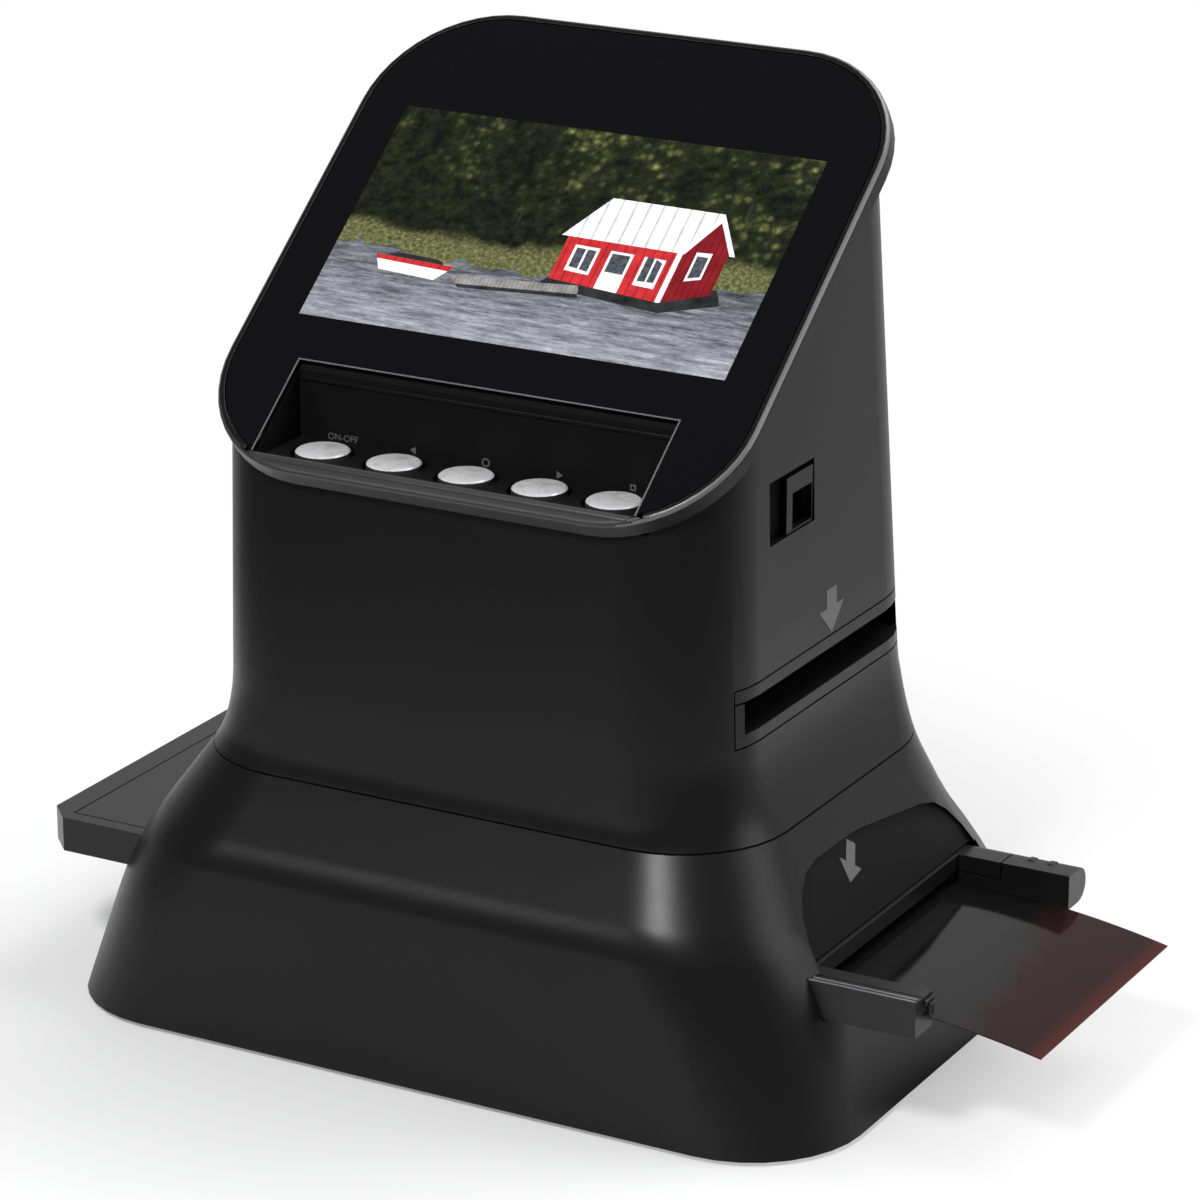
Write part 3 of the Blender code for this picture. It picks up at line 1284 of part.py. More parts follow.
def holder_envelope(name, look, parent):
    """The outside of the whole holder: chamfered at its left end, round along its hinge."""
    half = HOLDER_LENGTH / 2
    side = HOLDER_WIDTH / 2
    y, z = hinge_axis()
    outline = [Vector((-side, 0.0)), Vector((y, 0.0))]
    steps = ARC_STEPS * 2
    for step in range(1, steps):
        angle = -math.pi / 2 + math.pi * step / steps
        outline.append(Vector((y + z * math.cos(angle), z + z * math.sin(angle))))
    outline += [Vector((y, HOLDER_THICKNESS)), Vector((-side, HOLDER_THICKNESS))]
    bm = bmesh.new()
    loft(bm, [[Vector((x, point.x, point.y)) for point in outline] for x in (-half, half)])
    made = add_object(name, bm, look, parent)

    notch = half - HOLDER_NOTCH_DEPTH
    cut = HOLDER_CHAMFER
    past = OVERRUN
    notch_front = -side + HOLDER_FRONT_RAIL
    notch_rear = side - HOLDER_REAR_RAIL
    plan = [
        (-half - past, -side + cut + past),
        (-half + cut + past, -side - past),
        (half + past, -side - past),
        (half + past, notch_front),
        (notch, notch_front),
        (notch, notch_rear),
        (half + past, notch_rear),
        (half + past, side + past),
        (-half + cut + past, side + past),
        (-half - past, side - cut - past),
    ]
    bm = bmesh.new()
    prism(bm, plan, -past, HOLDER_THICKNESS + past)
    combine(made, add_object(name + "_plan", bm, parent=parent), "INTERSECT")
    return made


def lid_zone(name, grow, parent):
    """The space of the lid above the parting and round its own knuckles, grown all round."""
    half = HOLDER_LENGTH / 2
    side = HOLDER_WIDTH / 2
    y, radius = hinge_axis()
    past = OVERRUN
    left = -half + HOLDER_END_RIM - grow
    front = -side + HOLDER_FRONT_RIM - grow
    hinge_line = y - radius + grow
    rear_end = LID_KNUCKLE_SHARES[-1][1] * half + grow
    plan = [
        (left, front),
        (half + past, front),
        (half + past, 0.0),
        (rear_end, 0.0),
        (rear_end, hinge_line),
        (left, hinge_line),
    ]
    bm = bmesh.new()
    prism(bm, plan, HOLDER_PARTING - grow, HOLDER_THICKNESS + past)
    zone = add_object(name, bm, parent=parent)
    bm = bmesh.new()
    for low_share, high_share in LID_KNUCKLE_SHARES:
        left = low_share * half - grow
        right = high_share * half + grow
        low = (left, y - radius - grow, -past)
        block(bm, low, (right, side + past, HOLDER_THICKNESS + past * 2))
        web = (left, y - radius - past, HOLDER_PARTING - grow)
        corners = [(web, (right, y, HOLDER_THICKNESS + past))]
        combine(zone, blocks(name + "_web", corners, parent=parent), "UNION")
    combine(zone, add_object(name + "_knuckles", bm, parent=parent), "UNION")
    return zone


def frame_windows(name, parent):
    """The two openings over the frames of the film."""
    reach = FRAME_BAR / 2 + FRAME_SIZE
    y = FRAME_SIZE / 2
    past = OVERRUN
    top = HOLDER_THICKNESS + past
    return blocks(
        name,
        [
            ((-reach, -y, -past), (-FRAME_BAR / 2, y, top)),
            ((FRAME_BAR / 2, -y, -past), (reach, y, top)),
        ],
        parent=parent,
    )


def along_hinge(name, diameter, reach, look, parent):
    """A rod along the hinge's axis."""
    y, z = hinge_axis()
    bm = bmesh.new()
    turn = Matrix.Rotation(math.pi / 2, 4, "Y")
    place = Matrix.Translation((0.0, y, z)) @ turn
    points = [circle(0.0, 0.0, diameter / 2, end, SCREW_SIDES) for end in (-reach, reach)]
    loft(bm, [[place @ point for point in line] for line in points])
    return add_object(name, bm, look, parent)


def make_holder(holder):
    """Base and lid of the film holder, hinged along the back."""
    half = HOLDER_LENGTH / 2
    pin_reach = half - HOLDER_CHAMFER
    base = holder_envelope("holder_base", BLACK_PLASTIC, holder)
    combine(base, lid_zone("base_recess", GAP / 2, holder))
    width = FILM_WIDTH / 2 + FILM_SIDE_PLAY / 2
    low = (-half + HOLDER_CHANNEL_FROM_END, -width, HOLDER_FLOOR)
    high = (half, width, HOLDER_THICKNESS + OVERRUN)
    combine(base, blocks("film_channel", [(low, high)], parent=holder))
    combine(base, frame_windows("base_frames", holder))
    bore = HINGE_PIN_DIAMETER + 2 * GAP
    combine(base, along_hinge("base_pin_bore", bore, pin_reach, None, holder))

    lid = holder_envelope("holder_lid", BLACK_PLASTIC, holder)
    combine(lid, lid_zone("lid_form", -GAP / 2, holder), "INTERSECT")
    rib_left = FILM_LEFT_END
    rib_right = half - HOLDER_NOTCH_DEPTH - GAP
    rib_bottom = HOLDER_FLOOR + FILM_THICKNESS + 2 * GAP
    rib = FRAME_BAR / 4
    ribs = []
    for side in (-1, 1):
        middle = side * (FRAME_SIZE + FILM_WIDTH) / 4
        low = (rib_left, middle - rib / 2, rib_bottom)
        ribs.append((low, (rib_right, middle + rib / 2, HOLDER_THICKNESS - HOLDER_FLOOR)))
    combine(lid, blocks("lid_ribs", ribs, parent=holder), "UNION")
    combine(lid, frame_windows("lid_frames", holder))
    combine(lid, along_hinge("lid_pin_bore", bore, pin_reach, None, holder))
    along_hinge("holder_hinge_pin", HINGE_PIN_DIAMETER, pin_reach - GAP, STEEL, holder)


def make_film():
    """Strip of film lying in the holder, its free end drooping."""
    bottom = HOLDER_BOTTOM + HOLDER_FLOOR + GAP
    reach = FILM_RIGHT_END - FILM_DROOP_START
    steps = ARC_STEPS * 2
    line = [(FILM_LEFT_END, bottom)]
    for step in range(steps + 1):
        share = step / steps
        line.append((FILM_DROOP_START + reach * share, bottom - FILM_DROOP * share * share))
    outline = line + [(x, z + FILM_THICKNESS) for x, z in reversed(line)]
    bm = bmesh.new()
    loft(
        bm,
        [
            [Vector((x, side * FILM_WIDTH / 2, z - bottom)) for x, z in outline]
            for side in (1, -1)
        ],
    )
    add_object("film_strip", bm, FILM, place=(0.0, HOLDER_CENTRE_Y, bottom))


def main():
    for existing in list(bpy.data.objects):
        bpy.data.objects.remove(existing, do_unlink=True)
    panel = add_frame("panel_frame", (0.0, PANEL_FRONT_Y, PANEL_FRONT_HEIGHT), PANEL_SLOPE)
    holder = add_frame("holder_frame", (HOLDER_REST_X, HOLDER_CENTRE_Y, HOLDER_BOTTOM))
    make_lower_housing()
    make_upper_housing(panel)
    make_base_plate()
    make_light_unit()
    make_holder_guide()
    lower_size = (LOWER_WINDOW, LOWER_WINDOW)
    upper_size = (UPPER_WINDOW_WIDTH, UPPER_WINDOW_DEPTH)
    make_light_shaft(
        "lower_light_shaft", GUIDE_COVER_TOP + GAP, lower_size, SLEEVE_BOTTOM - GAP, upper_size
    )
    make_slot_sleeve()
    lens_bottom = BRACKET_HEIGHT - GAP - LENS_LENGTH
    mouth = (LENS_DIAMETER + SHAFT_WALL, LENS_DIAMETER + SHAFT_WALL)
    make_light_shaft("upper_light_shaft", SLEEVE_TOP + GAP, upper_size, lens_bottom, mouth)
    make_camera_unit()
    make_main_board()
    make_panel(panel)
    make_keypad(panel)
    make_holder(holder)
    make_film()


main()
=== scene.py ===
"""Looks of the film negative scanner: finishes, the lit picture, prints and the strip of film."""

import json
import math

import bmesh
import bpy
from mathutils import Matrix, Vector

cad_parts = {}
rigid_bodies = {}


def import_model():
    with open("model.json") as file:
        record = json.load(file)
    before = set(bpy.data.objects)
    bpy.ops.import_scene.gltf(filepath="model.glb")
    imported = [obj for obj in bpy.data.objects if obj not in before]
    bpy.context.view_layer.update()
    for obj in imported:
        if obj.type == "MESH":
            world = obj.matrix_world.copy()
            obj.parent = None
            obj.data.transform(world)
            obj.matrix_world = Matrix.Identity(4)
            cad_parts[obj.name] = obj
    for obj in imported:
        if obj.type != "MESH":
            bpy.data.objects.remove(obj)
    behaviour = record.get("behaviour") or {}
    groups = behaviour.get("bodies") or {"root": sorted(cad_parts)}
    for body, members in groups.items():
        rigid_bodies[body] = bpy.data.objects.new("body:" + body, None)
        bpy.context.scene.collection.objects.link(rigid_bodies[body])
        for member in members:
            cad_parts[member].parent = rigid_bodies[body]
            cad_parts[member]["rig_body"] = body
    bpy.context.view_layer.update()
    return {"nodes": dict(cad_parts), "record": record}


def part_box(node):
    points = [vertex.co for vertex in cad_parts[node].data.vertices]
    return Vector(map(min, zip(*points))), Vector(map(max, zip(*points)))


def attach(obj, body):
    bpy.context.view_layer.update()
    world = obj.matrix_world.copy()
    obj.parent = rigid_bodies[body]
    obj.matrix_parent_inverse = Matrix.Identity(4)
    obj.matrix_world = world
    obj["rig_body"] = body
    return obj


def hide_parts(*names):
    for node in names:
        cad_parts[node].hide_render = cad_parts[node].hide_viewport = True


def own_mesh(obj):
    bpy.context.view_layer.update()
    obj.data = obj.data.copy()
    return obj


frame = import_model()
nodes = frame["nodes"]
bpy.ops.object.select_all(action="DESELECT")


# Camera and studio, in metres, millimetres of lens and watts


CAMERA_PLACE = (0.4573, -0.8135, 0.4098)
CAMERA_TARGET = (0.0001, 0.01275, 0.07854)
CAMERA_LENS = 147.16
CAMERA_SENSOR = 36.0
CAMERA_NEAR_END = 0.05
LAMP_TARGET = (0.0, 0.0, 0.09)
LAMPS = (
    ("lamp_behind", (0.35, 0.75, 1.15), 0.9, 0.7, 10.0),
    ("lamp_in_front", (0.04, -0.80, 1.02), 0.20, 0.20, 11.0),
    ("lamp_right", (1.3, 0.35, 0.8), 0.7, 0.8, 6.0),
    ("lamp_front_left", (-0.76, -1.32, 0.80), 0.4, 0.4, 3.0),
)
FLOOR_RADIUS = 0.27
SHADOW_MIDDLE = (-0.06, 0.0, 0.0)
SHADOW_REACH = (0.10, 0.23)


# Places and sizes on the part, in metres


FINE_EDGE = 0.00012
SOFT_EDGE = 0.00025
RIM_EDGE = 0.0004
PLATE_EDGE = 0.00015
KEY_EDGE = 0.0001
SMOOTH_ANGLE = 34.0
SKIRT_SMOOTH_ANGLE = 20.0
TRIM_SMOOTH_ANGLE = 40.0
KEY_CAP_SHARE = 0.90
CUT_TOLERANCE = 0.000001
MERGE_DISTANCE = 0.000004
FLAT_ANGLE = 0.4

PANEL_EDGE = Vector((0.0, -0.0532, 0.1195))
PANEL_TURN = Matrix.Rotation(math.radians(37.9), 4, "X")
ON_PANEL = Matrix.Translation(PANEL_EDGE) @ PANEL_TURN
PANEL_OUTWARD = PANEL_TURN @ Vector((0.0, 0.0, 1.0))
LIP_FRONT_Y = -0.0500
LIP_TOP = 0.1222
LIP_BEND_Y = -0.0440
LIP_END_X = 0.0520
LIP_FADE_X = (0.0400, 0.0475)
RIM_CORNER_X = 0.040
RIM_BACK_Y = 0.030

PICTURE_WIDTH = 0.09504
PICTURE_HEIGHT = 0.05386
PICTURE_FROM_EDGE = 0.03666
PICTURE_SINK = 0.00007

NOTCH_WIDTH = 0.0845
NOTCH_TOP = 0.0260
NOTCH_EDGE = 0.00032
NOTCH_START = 0.0036
NOTCH_EDGE_DEPTH = 0.0001
NOTCH_EDGE_SINK = 0.00004
LIP_BAR_SIZE = (0.0825, 0.0014, 0.0010)
LIP_BAR_FROM_EDGE = 0.00255
LIP_BAR_SINK = 0.0002
LIP_BAR_EDGE = 0.0004

KEYPAD_BACK_Y = -0.0327
KEYPAD_FLOOR_HEIGHT = 0.1197
LEDGE_SIZE = (0.0835, 0.0006, 0.0008)
LEDGE_HEIGHT = 0.1318
LEDGE_EDGE = 0.00015
KEY_COUNT = 5
KEY_PITCH = 0.01623
KEY_PLACES = [(index - KEY_COUNT // 2) * KEY_PITCH for index in range(KEY_COUNT)]
MARK_RADIUS = 0.0009
MARK_WORD_SIZE = 0.0019
MARK_FROM_WALL = 0.00002
MARK_HEIGHT = 0.00095

SOCKET_FACE_Y = (-0.0163, -0.0052)
SOCKET_FACE_Z = (0.1103, 0.1216)
SOCKET_MOUTH_Y = (-0.0139, -0.0057)
SOCKET_MOUTH_Z = (0.1107, 0.1180)
SOCKET_FACE_DEPTH = 0.0015

POCKET_FOOT_X = 0.0736
POCKET_FOOT_HEIGHT = 0.0320
POCKET_CREASE_HEIGHT = 0.04027
POCKET_LEAN = 0.44
POCKET_UPPER_LEAN = 0.388
POCKET_WALL_TOLERANCE = 0.0003

PRINT_THICKNESS = 0.00004
ARROW_STEM_OVERLAP = 1.02
TOWER_SIDE_LEAN = 0.020
SLOT_ARROW_SIZE = (0.0092, 0.0108, 0.0044)
SLOT_ARROW_PLACE = (0.05781, 0.0023, 0.0895)
POCKET_ARROW_SIZE = (0.0085, 0.0080, 0.0032)
POCKET_ARROW_PLACE = (0.06899, -0.0103, 0.0429)
POCKET_ARROW_TWIST = math.radians(-36)

HOLDER_TOP = 0.0317
RIDGE_SIZE = (0.0235, 0.0005, 0.0006)
RIDGE_X = 0.0869
RIDGE_Y = (-0.0424, -0.0412)
RIDGE_SINK = 0.0001
RIDGE_EDGE = 0.00015
CATCH_SIZE = (0.0014, 0.0018, 0.0026)
CATCH_Y = -0.0372
CATCH_DEPTH = 0.0030
CATCH_EDGE = 0.0003
HOOK_SIZE = (0.0009, 0.0034, 0.0010)
HOOK_Y = -0.0378
HOOK_DEPTH = 0.0012
FRONT_ARM_END_X = 0.0992
STOP_SIZE = (0.0016, 0.0022, 0.0007)
STOP_X = (0.0888, 0.0932)
STOP_Y = 0.0333
STOP_SINK = 0.0002
SMALL_TRIM_EDGE = 0.0002

FILM_GRID = (96, 16)
FILM_THICKNESS = 0.0003
FILM_SHEET_SHARE = 0.8
FILM_DROOP_START = 0.078
FILM_RED_START = (0.0965, 0.1055)
FILM_RED_SLANT = 0.13
FILM_RED_DRIFT = 0.006
FILM_TIP = (0.1165, 0.1208)


# Node helpers


def fill(tree, made, fields):
    """Fills the input sockets of a node with values or links."""
    for key, value in fields.items():
        if isinstance(value, bpy.types.NodeSocket):
            tree.links.new(value, made.inputs[key])
        else:
            made.inputs[key].default_value = value


def node(tree, kind, fields=None, **settings):
    """A shader node with its settings and its filled input sockets."""
    made = tree.nodes.new("ShaderNode" + kind)
    for key, value in settings.items():
        setattr(made, key, value)
    fill(tree, made, fields or {})
    return made


def maths(tree, operation, first, second=0.0):
    """The result of one sum on one or two numbers."""
    return node(tree, "Math", {0: first, 1: second}, operation=operation).outputs[0]


def product(tree, first, *others):
    """Numbers multiplied together."""
    for other in others:
        first = maths(tree, "MULTIPLY", first, other)
    return first


def total(tree, first, *others):
    """Numbers added together."""
    for other in others:
        first = maths(tree, "ADD", first, other)
    return first


def blend_colours(tree, share, first, second, blend_type="MIX"):
    """Two colours mixed by a share."""
    fields = {0: share, 6: first, 7: second}
    made = node(tree, "Mix", fields, data_type="RGBA", blend_type=blend_type)
    return made.outputs[2]


def two_shades(tree, share, dark, light):
    """A colour between two written ones."""
    return blend_colours(tree, share, (*dark, 1.0), (*light, 1.0))


def ramp(tree, value, *stops):
    """A colour read along a row of (place, colour) stops."""
    made = node(tree, "ValToRGB", {"Fac": value})
    band = made.color_ramp
    while len(band.elements) < len(stops):
        band.elements.new(0.5)
    for element, (place, colour) in zip(band.elements, stops):
        element.position = place
        element.color = (*colour, 1.0)
    return made.outputs["Color"]


def between(tree, value, low, high, to_low=0.0, to_high=1.0, smooth=False):
    """A value mapped from one range to another, held at the ends."""
    fields = {"Value": value, "From Min": low, "From Max": high, "To Min": to_low, "To Max": to_high}
    kind = "SMOOTHSTEP" if smooth else "LINEAR"
    return node(tree, "MapRange", fields, interpolation_type=kind).outputs["Result"]


def noise(tree, where, scale, detail=2.0, roughness=0.5):
    """Cloudy noise from nought to one."""
    fields = {"Vector": where, "Scale": scale, "Detail": detail, "Roughness": roughness}
    return node(tree, "TexNoise", fields).outputs["Fac"]


def stretched_noise(tree, where, scales, detail, roughness):
    """Noise with a scale of its own along each direction."""
    spread = node(tree, "Mapping", {"Vector": where, "Scale": scales}).outputs["Vector"]
    return noise(tree, spread, 1.0, detail, roughness)


def new_finish(name):
    """A material, with its tree, its shader and the place on the object in metres."""
    material = bpy.data.materials.new(name)
    material.use_nodes = True
    tree = material.node_tree
    where = tree.nodes.new("ShaderNodeTexCoord").outputs["Object"]
    return material, tree, tree.nodes["Principled BSDF"], where


def bump(tree, height, strength, distance):
    """The normal of a surface with small relief."""
    fields = {"Height": height, "Strength": strength, "Distance": distance}
    return node(tree, "Bump", fields).outputs["Normal"]


# Camera and studio


def aim(thing, target):
    """Turns a lamp or the camera towards a point."""
    way = Vector(target) - thing.location
    thing.rotation_euler = way.to_track_quat("-Z", "Y").to_euler()


def place_camera():
    """Camera at the photograph's angle, with a long lens a metre away."""
    bpy.ops.object.camera_add(location=CAMERA_PLACE)
    camera = bpy.context.object
    camera.data.sensor_width = CAMERA_SENSOR
    camera.data.lens = CAMERA_LENS
    camera.data.clip_start = CAMERA_NEAR_END
    aim(camera, CAMERA_TARGET)
    bpy.context.scene.camera = camera


def whiten_surroundings():
    """White surroundings for the camera and for glass, and a soft grey back wall that lights the part."""
    world = bpy.data.worlds.new("studio")
    bpy.context.scene.world = world
    world.use_nodes = True
    tree = world.node_tree
    seen = node(tree, "LightPath")
    way = node(tree, "SeparateXYZ", {"Vector": node(tree, "TexCoord").outputs["Generated"]})
    back_wall = between(tree, way.outputs["Y"], -0.1, 0.7, 0.10, 0.66, smooth=True)
    shown = maths(tree, "MAXIMUM", seen.outputs["Is Camera Ray"], seen.outputs["Is Transmission Ray"])
    strength = maths(tree, "MAXIMUM", shown, back_wall)
    fill(tree, tree.nodes["Background"], {"Color": (1.0, 1.0, 1.0, 1.0), "Strength": strength})


def lay_floor():
    """A round sheet of white paper that keeps the shadow near the part and is plain white further off."""
    bpy.ops.mesh.primitive_circle_add(vertices=96, radius=FLOOR_RADIUS, fill_type="NGON")
    floor = bpy.context.object
    floor.name = "studio_floor"
    paper, tree, shader, where = new_finish("white_paper")
    fill(tree, shader, {"Base Color": (0.86, 0.86, 0.87, 1.0), "Roughness": 0.9})
    glow = node(tree, "Emission", {"Strength": 1.0})
    away = node(tree, "VectorMath", {0: where, 1: SHADOW_MIDDLE}, operation="DISTANCE")
    shown = between(tree, away.outputs["Value"], *SHADOW_REACH, 0.25, 1.0, smooth=True)
    share = product(tree, node(tree, "LightPath").outputs["Is Camera Ray"], shown)
    fields = {0: share, 1: shader.outputs["BSDF"], 2: glow.outputs["Emission"]}
    mix = node(tree, "MixShader", fields)
    tree.links.new(mix.outputs["Shader"], tree.nodes["Material Output"].inputs["Surface"])
    floor.data.materials.append(paper)


def soft_lamp(name, place, width, depth, power):
    """A rectangular studio lamp, turned to the part."""
    bpy.ops.object.light_add(type="AREA", location=place)
    lamp = bpy.context.object
    lamp.name = name
    lamp.data.shape = "RECTANGLE"
    lamp.data.size = width
    lamp.data.size_y = depth
    lamp.data.energy = power
    aim(lamp, LAMP_TARGET)


def light_studio():
    """White surroundings, the floor and four soft lamps."""
    whiten_surroundings()
    lay_floor()
    for lamp in LAMPS:
        soft_lamp(*lamp)
    bpy.context.scene.view_settings.view_transform = "Standard"


# Finishes


HOUSING_SHADES = ((0.0060, 0.0060, 0.0063), (0.0078, 0.0078, 0.0082))
# Pale shades painted on the lip, the lip bar and the rim's outer edges as a highlight.
PAINTED_HIGHLIGHT_SHADES = ((0.034, 0.034, 0.035), (0.046, 0.046, 0.047))


def mottled(tree, where, dark, light):
    """Two near shades of a moulding in soft patches."""
    return two_shades(tree, noise(tree, where, 35.0, 3.0), dark, light)


def moulded_plastic(name, dark, light, roughness, grain, depth, specular=0.5):
    """Fine-textured moulding: a spark-eroded grain, soft shade patches and faint handling marks."""
    material, tree, shader, where = new_finish(name)
    handling = noise(tree, where, 60.0, 5.0, 0.65)
    fields = {
        "Base Color": mottled(tree, where, dark, light),
        "Roughness": between(tree, handling, 0.3, 0.7, roughness - 0.012, roughness + 0.015),
        "Specular IOR Level": specular,
        "Normal": bump(tree, noise(tree, where, grain, 2.0, 0.6), 0.35, depth),
    }
    fill(tree, shader, fields)
    return material


def worn_lip():
    """The housing's plastic along the lip, painted pale in the middle as a highlight and fading to the plain
    housing towards its ends.
    """
    material, tree, shader, where = new_finish("worn_lip")
    place = node(tree, "SeparateXYZ", {"Vector": where})
    ends = between(tree, maths(tree, "ABSOLUTE", place.outputs["X"]), *LIP_FADE_X, smooth=True)
    pale = mottled(tree, where, *PAINTED_HIGHLIGHT_SHADES)
    plain = mottled(tree, where, *HOUSING_SHADES)
    fields = {
        "Base Color": blend_colours(tree, ends, pale, plain),
        "Roughness": 0.36,
        "Specular IOR Level": between(tree, ends, 0.0, 1.0, 0.5, 0.22),
        "Normal": bump(tree, noise(tree, where, 2600.0, 2.0, 0.6), 0.35, 0.00003),
    }
    fill(tree, shader, fields)
    return material


def window_gloss():
    """Polished window with black print behind it, and a trace of dust."""
    material, tree, shader, where = new_finish("window_gloss")
    dust = between(tree, noise(tree, where, 900.0, 4.0, 0.7), 0.66, 0.74)
    smear = noise(tree, where, 22.0, 4.0, 0.6)
    fields = {
        "Base Color": two_shades(tree, dust, (0.0035, 0.0035, 0.0042), (0.011, 0.011, 0.012)),
        "Roughness": between(tree, smear, 0.35, 0.75, 0.05, 0.12),
        "Specular IOR Level": 0.32,
    }
    fill(tree, shader, fields)
    return material


def silver_lacquer():
    """Silver lacquer of the keys: pale flakes in a smooth lacquer, a little rubbed."""
    material, tree, shader, where = new_finish("silver_lacquer")
    flake = noise(tree, where, 4200.0, 2.0, 0.7)
    rubbed = noise(tree, where, 330.0, 3.0, 0.6)
    base = two_shades(tree, flake, (0.58, 0.58, 0.59), (0.82, 0.82, 0.83))
    fields = {
        "Base Color": blend_colours(tree, between(tree, rubbed, 0.5, 0.75), base, (0.46, 0.46, 0.465, 1.0)),
        "Metallic": 0.15,
        "Roughness": between(tree, rubbed, 0.3, 0.7, 0.26, 0.38),
        "Normal": bump(tree, flake, 0.12, 0.00002),
    }
    fill(tree, shader, fields)
    return material


def soft_rubber():
    """Rubber of the feet, with a dusty bloom."""
    material, tree, shader, where = new_finish("soft_rubber")
    bloom = noise(tree, where, 240.0, 5.0, 0.7)
    fields = {
        "Base Color": two_shades(tree, bloom, (0.012, 0.012, 0.012), (0.035, 0.034, 0.033)),
        "Roughness": 0.82,
        "Normal": bump(tree, noise(tree, where, 2600.0), 0.4, 0.00005),
    }
    fill(tree, shader, fields)
    return material


def plated_steel():
    """Pressed and plated steel with fine drawing lines."""
    material, tree, shader, where = new_finish("plated_steel")
    lines = stretched_noise(tree, where, (300.0, 5200.0, 5200.0), 3.0, 0.6)
    fields = {
        "Base Color": two_shades(tree, lines, (0.38, 0.38, 0.39), (0.58, 0.58, 0.58)),
        "Metallic": 1.0,
        "Roughness": between(tree, lines, 0.2, 0.8, 0.26, 0.42),
    }
    fill(tree, shader, fields)
    return material


def circuit_board():
    """Green solder mask over a net of copper tracks."""
    material, tree, shader, where = new_finish("circuit_board")
    cells = node(tree, "TexVoronoi", {"Vector": where, "Scale": 420.0}, distance="MANHATTAN")
    tracks = between(tree, cells.outputs["Distance"], 0.42, 0.5)
    fields = {
        "Base Color": two_shades(tree, tracks, (0.008, 0.055, 0.022), (0.02, 0.13, 0.05)),
        "Roughness": 0.38,
        "Normal": bump(tree, tracks, 0.3, 0.00004),
    }
    fill(tree, shader, fields)
    return material


def clear_cover():
    """Clear cover glass, faintly tinted."""
    material, tree, shader, where = new_finish("clear_cover")
    smear = noise(tree, where, 40.0, 3.0)
    fields = {
        "Base Color": two_shades(tree, smear, (0.74, 0.80, 0.84), (0.82, 0.86, 0.88)),
        "Roughness": between(tree, smear, 0.3, 0.7, 0.02, 0.06),
        "Transmission Weight": 0.9,
    }
    fill(tree, shader, fields)
    return material


def film_base():
    """Film that is near black where it lies in the scanner, as painted shade and painted reflection of the
    dark housing, and clear dark red at its free end.
    """
    material, tree, shader, where = new_finish("film_base")
    place = node(tree, "SeparateXYZ", {"Vector": where})
    drift = between(tree, noise(tree, where, 55.0, 3.0), 0.0, 1.0, -FILM_RED_DRIFT, FILM_RED_DRIFT)
    slant = product(tree, place.outputs["Y"], FILM_RED_SLANT)
    end = between(tree, total(tree, place.outputs["X"], slant, drift), *FILM_RED_START, smooth=True)
    tip = between(tree, place.outputs["X"], *FILM_TIP, smooth=True)
    mottle = noise(tree, where, 90.0, 4.0, 0.6)
    # The grey is painted shade and painted reflection of the dark housing over the film near the scanner.
    grey = two_shades(tree, mottle, (0.004, 0.004, 0.004), (0.007, 0.007, 0.007))
    red = two_shades(tree, mottle, (0.017, 0.006, 0.007), (0.026, 0.008, 0.008))
    rim = blend_colours(tree, tip, red, (0.060, 0.011, 0.008, 1.0))
    fields = {
        "Base Color": blend_colours(tree, end, grey, rim),
        "Roughness": 0.09,
        "Specular IOR Level": between(tree, end, 0.0, 1.0, 0.2, 0.09),
    }
    fill(tree, shader, fields)
    return material


HOUSING = moulded_plastic("housing_plastic", *HOUSING_SHADES, 0.33, 3000.0, 0.00003, 0.22)
# Plastic made darker as painted shade, for the walls of the hand pockets and the keypad recess.
RECESS_PAINTED_SHADE = moulded_plastic(
    "painted_recess_shade", (0.0048, 0.0048, 0.0050), (0.0066, 0.0066, 0.0068), 0.6, 3000.0, 0.00003, 0.10
)
# Near black plastic as painted shade, for the inside of the slot and the gap round the socket.
SLOT_PAINTED_SHADE = moulded_plastic(
    "slot_painted_shade", (0.0040, 0.0040, 0.0042), (0.0056, 0.0056, 0.0058), 0.7, 3000.0, 0.00003, 0.03
)
HOLDER = moulded_plastic(
    "holder_plastic", (0.0075, 0.0075, 0.0078), (0.0105, 0.0105, 0.0108), 0.32, 3600.0, 0.00002, 0.32
)
INNER = moulded_plastic("inner_plastic", (0.022, 0.022, 0.023), (0.032, 0.032, 0.033), 0.58, 2400.0, 0.00004)
WHITE = moulded_plastic("white_plastic", (0.72, 0.72, 0.70), (0.80, 0.80, 0.78), 0.52, 2400.0, 0.00003)
CHIP = moulded_plastic("chip_resin", (0.008, 0.008, 0.010), (0.014, 0.014, 0.016), 0.42, 5000.0, 0.00002)
WINDOW = window_gloss()
SILVER = silver_lacquer()
RUBBER = soft_rubber()
STEEL = plated_steel()
BOARD = circuit_board()
GLASS = clear_cover()
PRINT = moulded_plastic("pale_print", (0.10, 0.10, 0.10), (0.15, 0.15, 0.15), 0.5, 5000.0, 0.00001)
# Pale plastic: the window's cut edge round the keypad recess, and a painted highlight on the rim's right edge
# and the front arm's ridges.
EDGE = moulded_plastic("pale_edge_and_painted_highlight", (0.11, 0.11, 0.115), (0.17, 0.17, 0.175), 0.35, 4000.0, 0.00001)
PAINTED_LIP_HIGHLIGHT = worn_lip()
# Plastic painted pale all over as a highlight, for the rim's outer edges and the lip bar.
LIP = moulded_plastic("painted_highlight_plastic", *PAINTED_HIGHLIGHT_SHADES, 0.36, 2600.0, 0.00003)

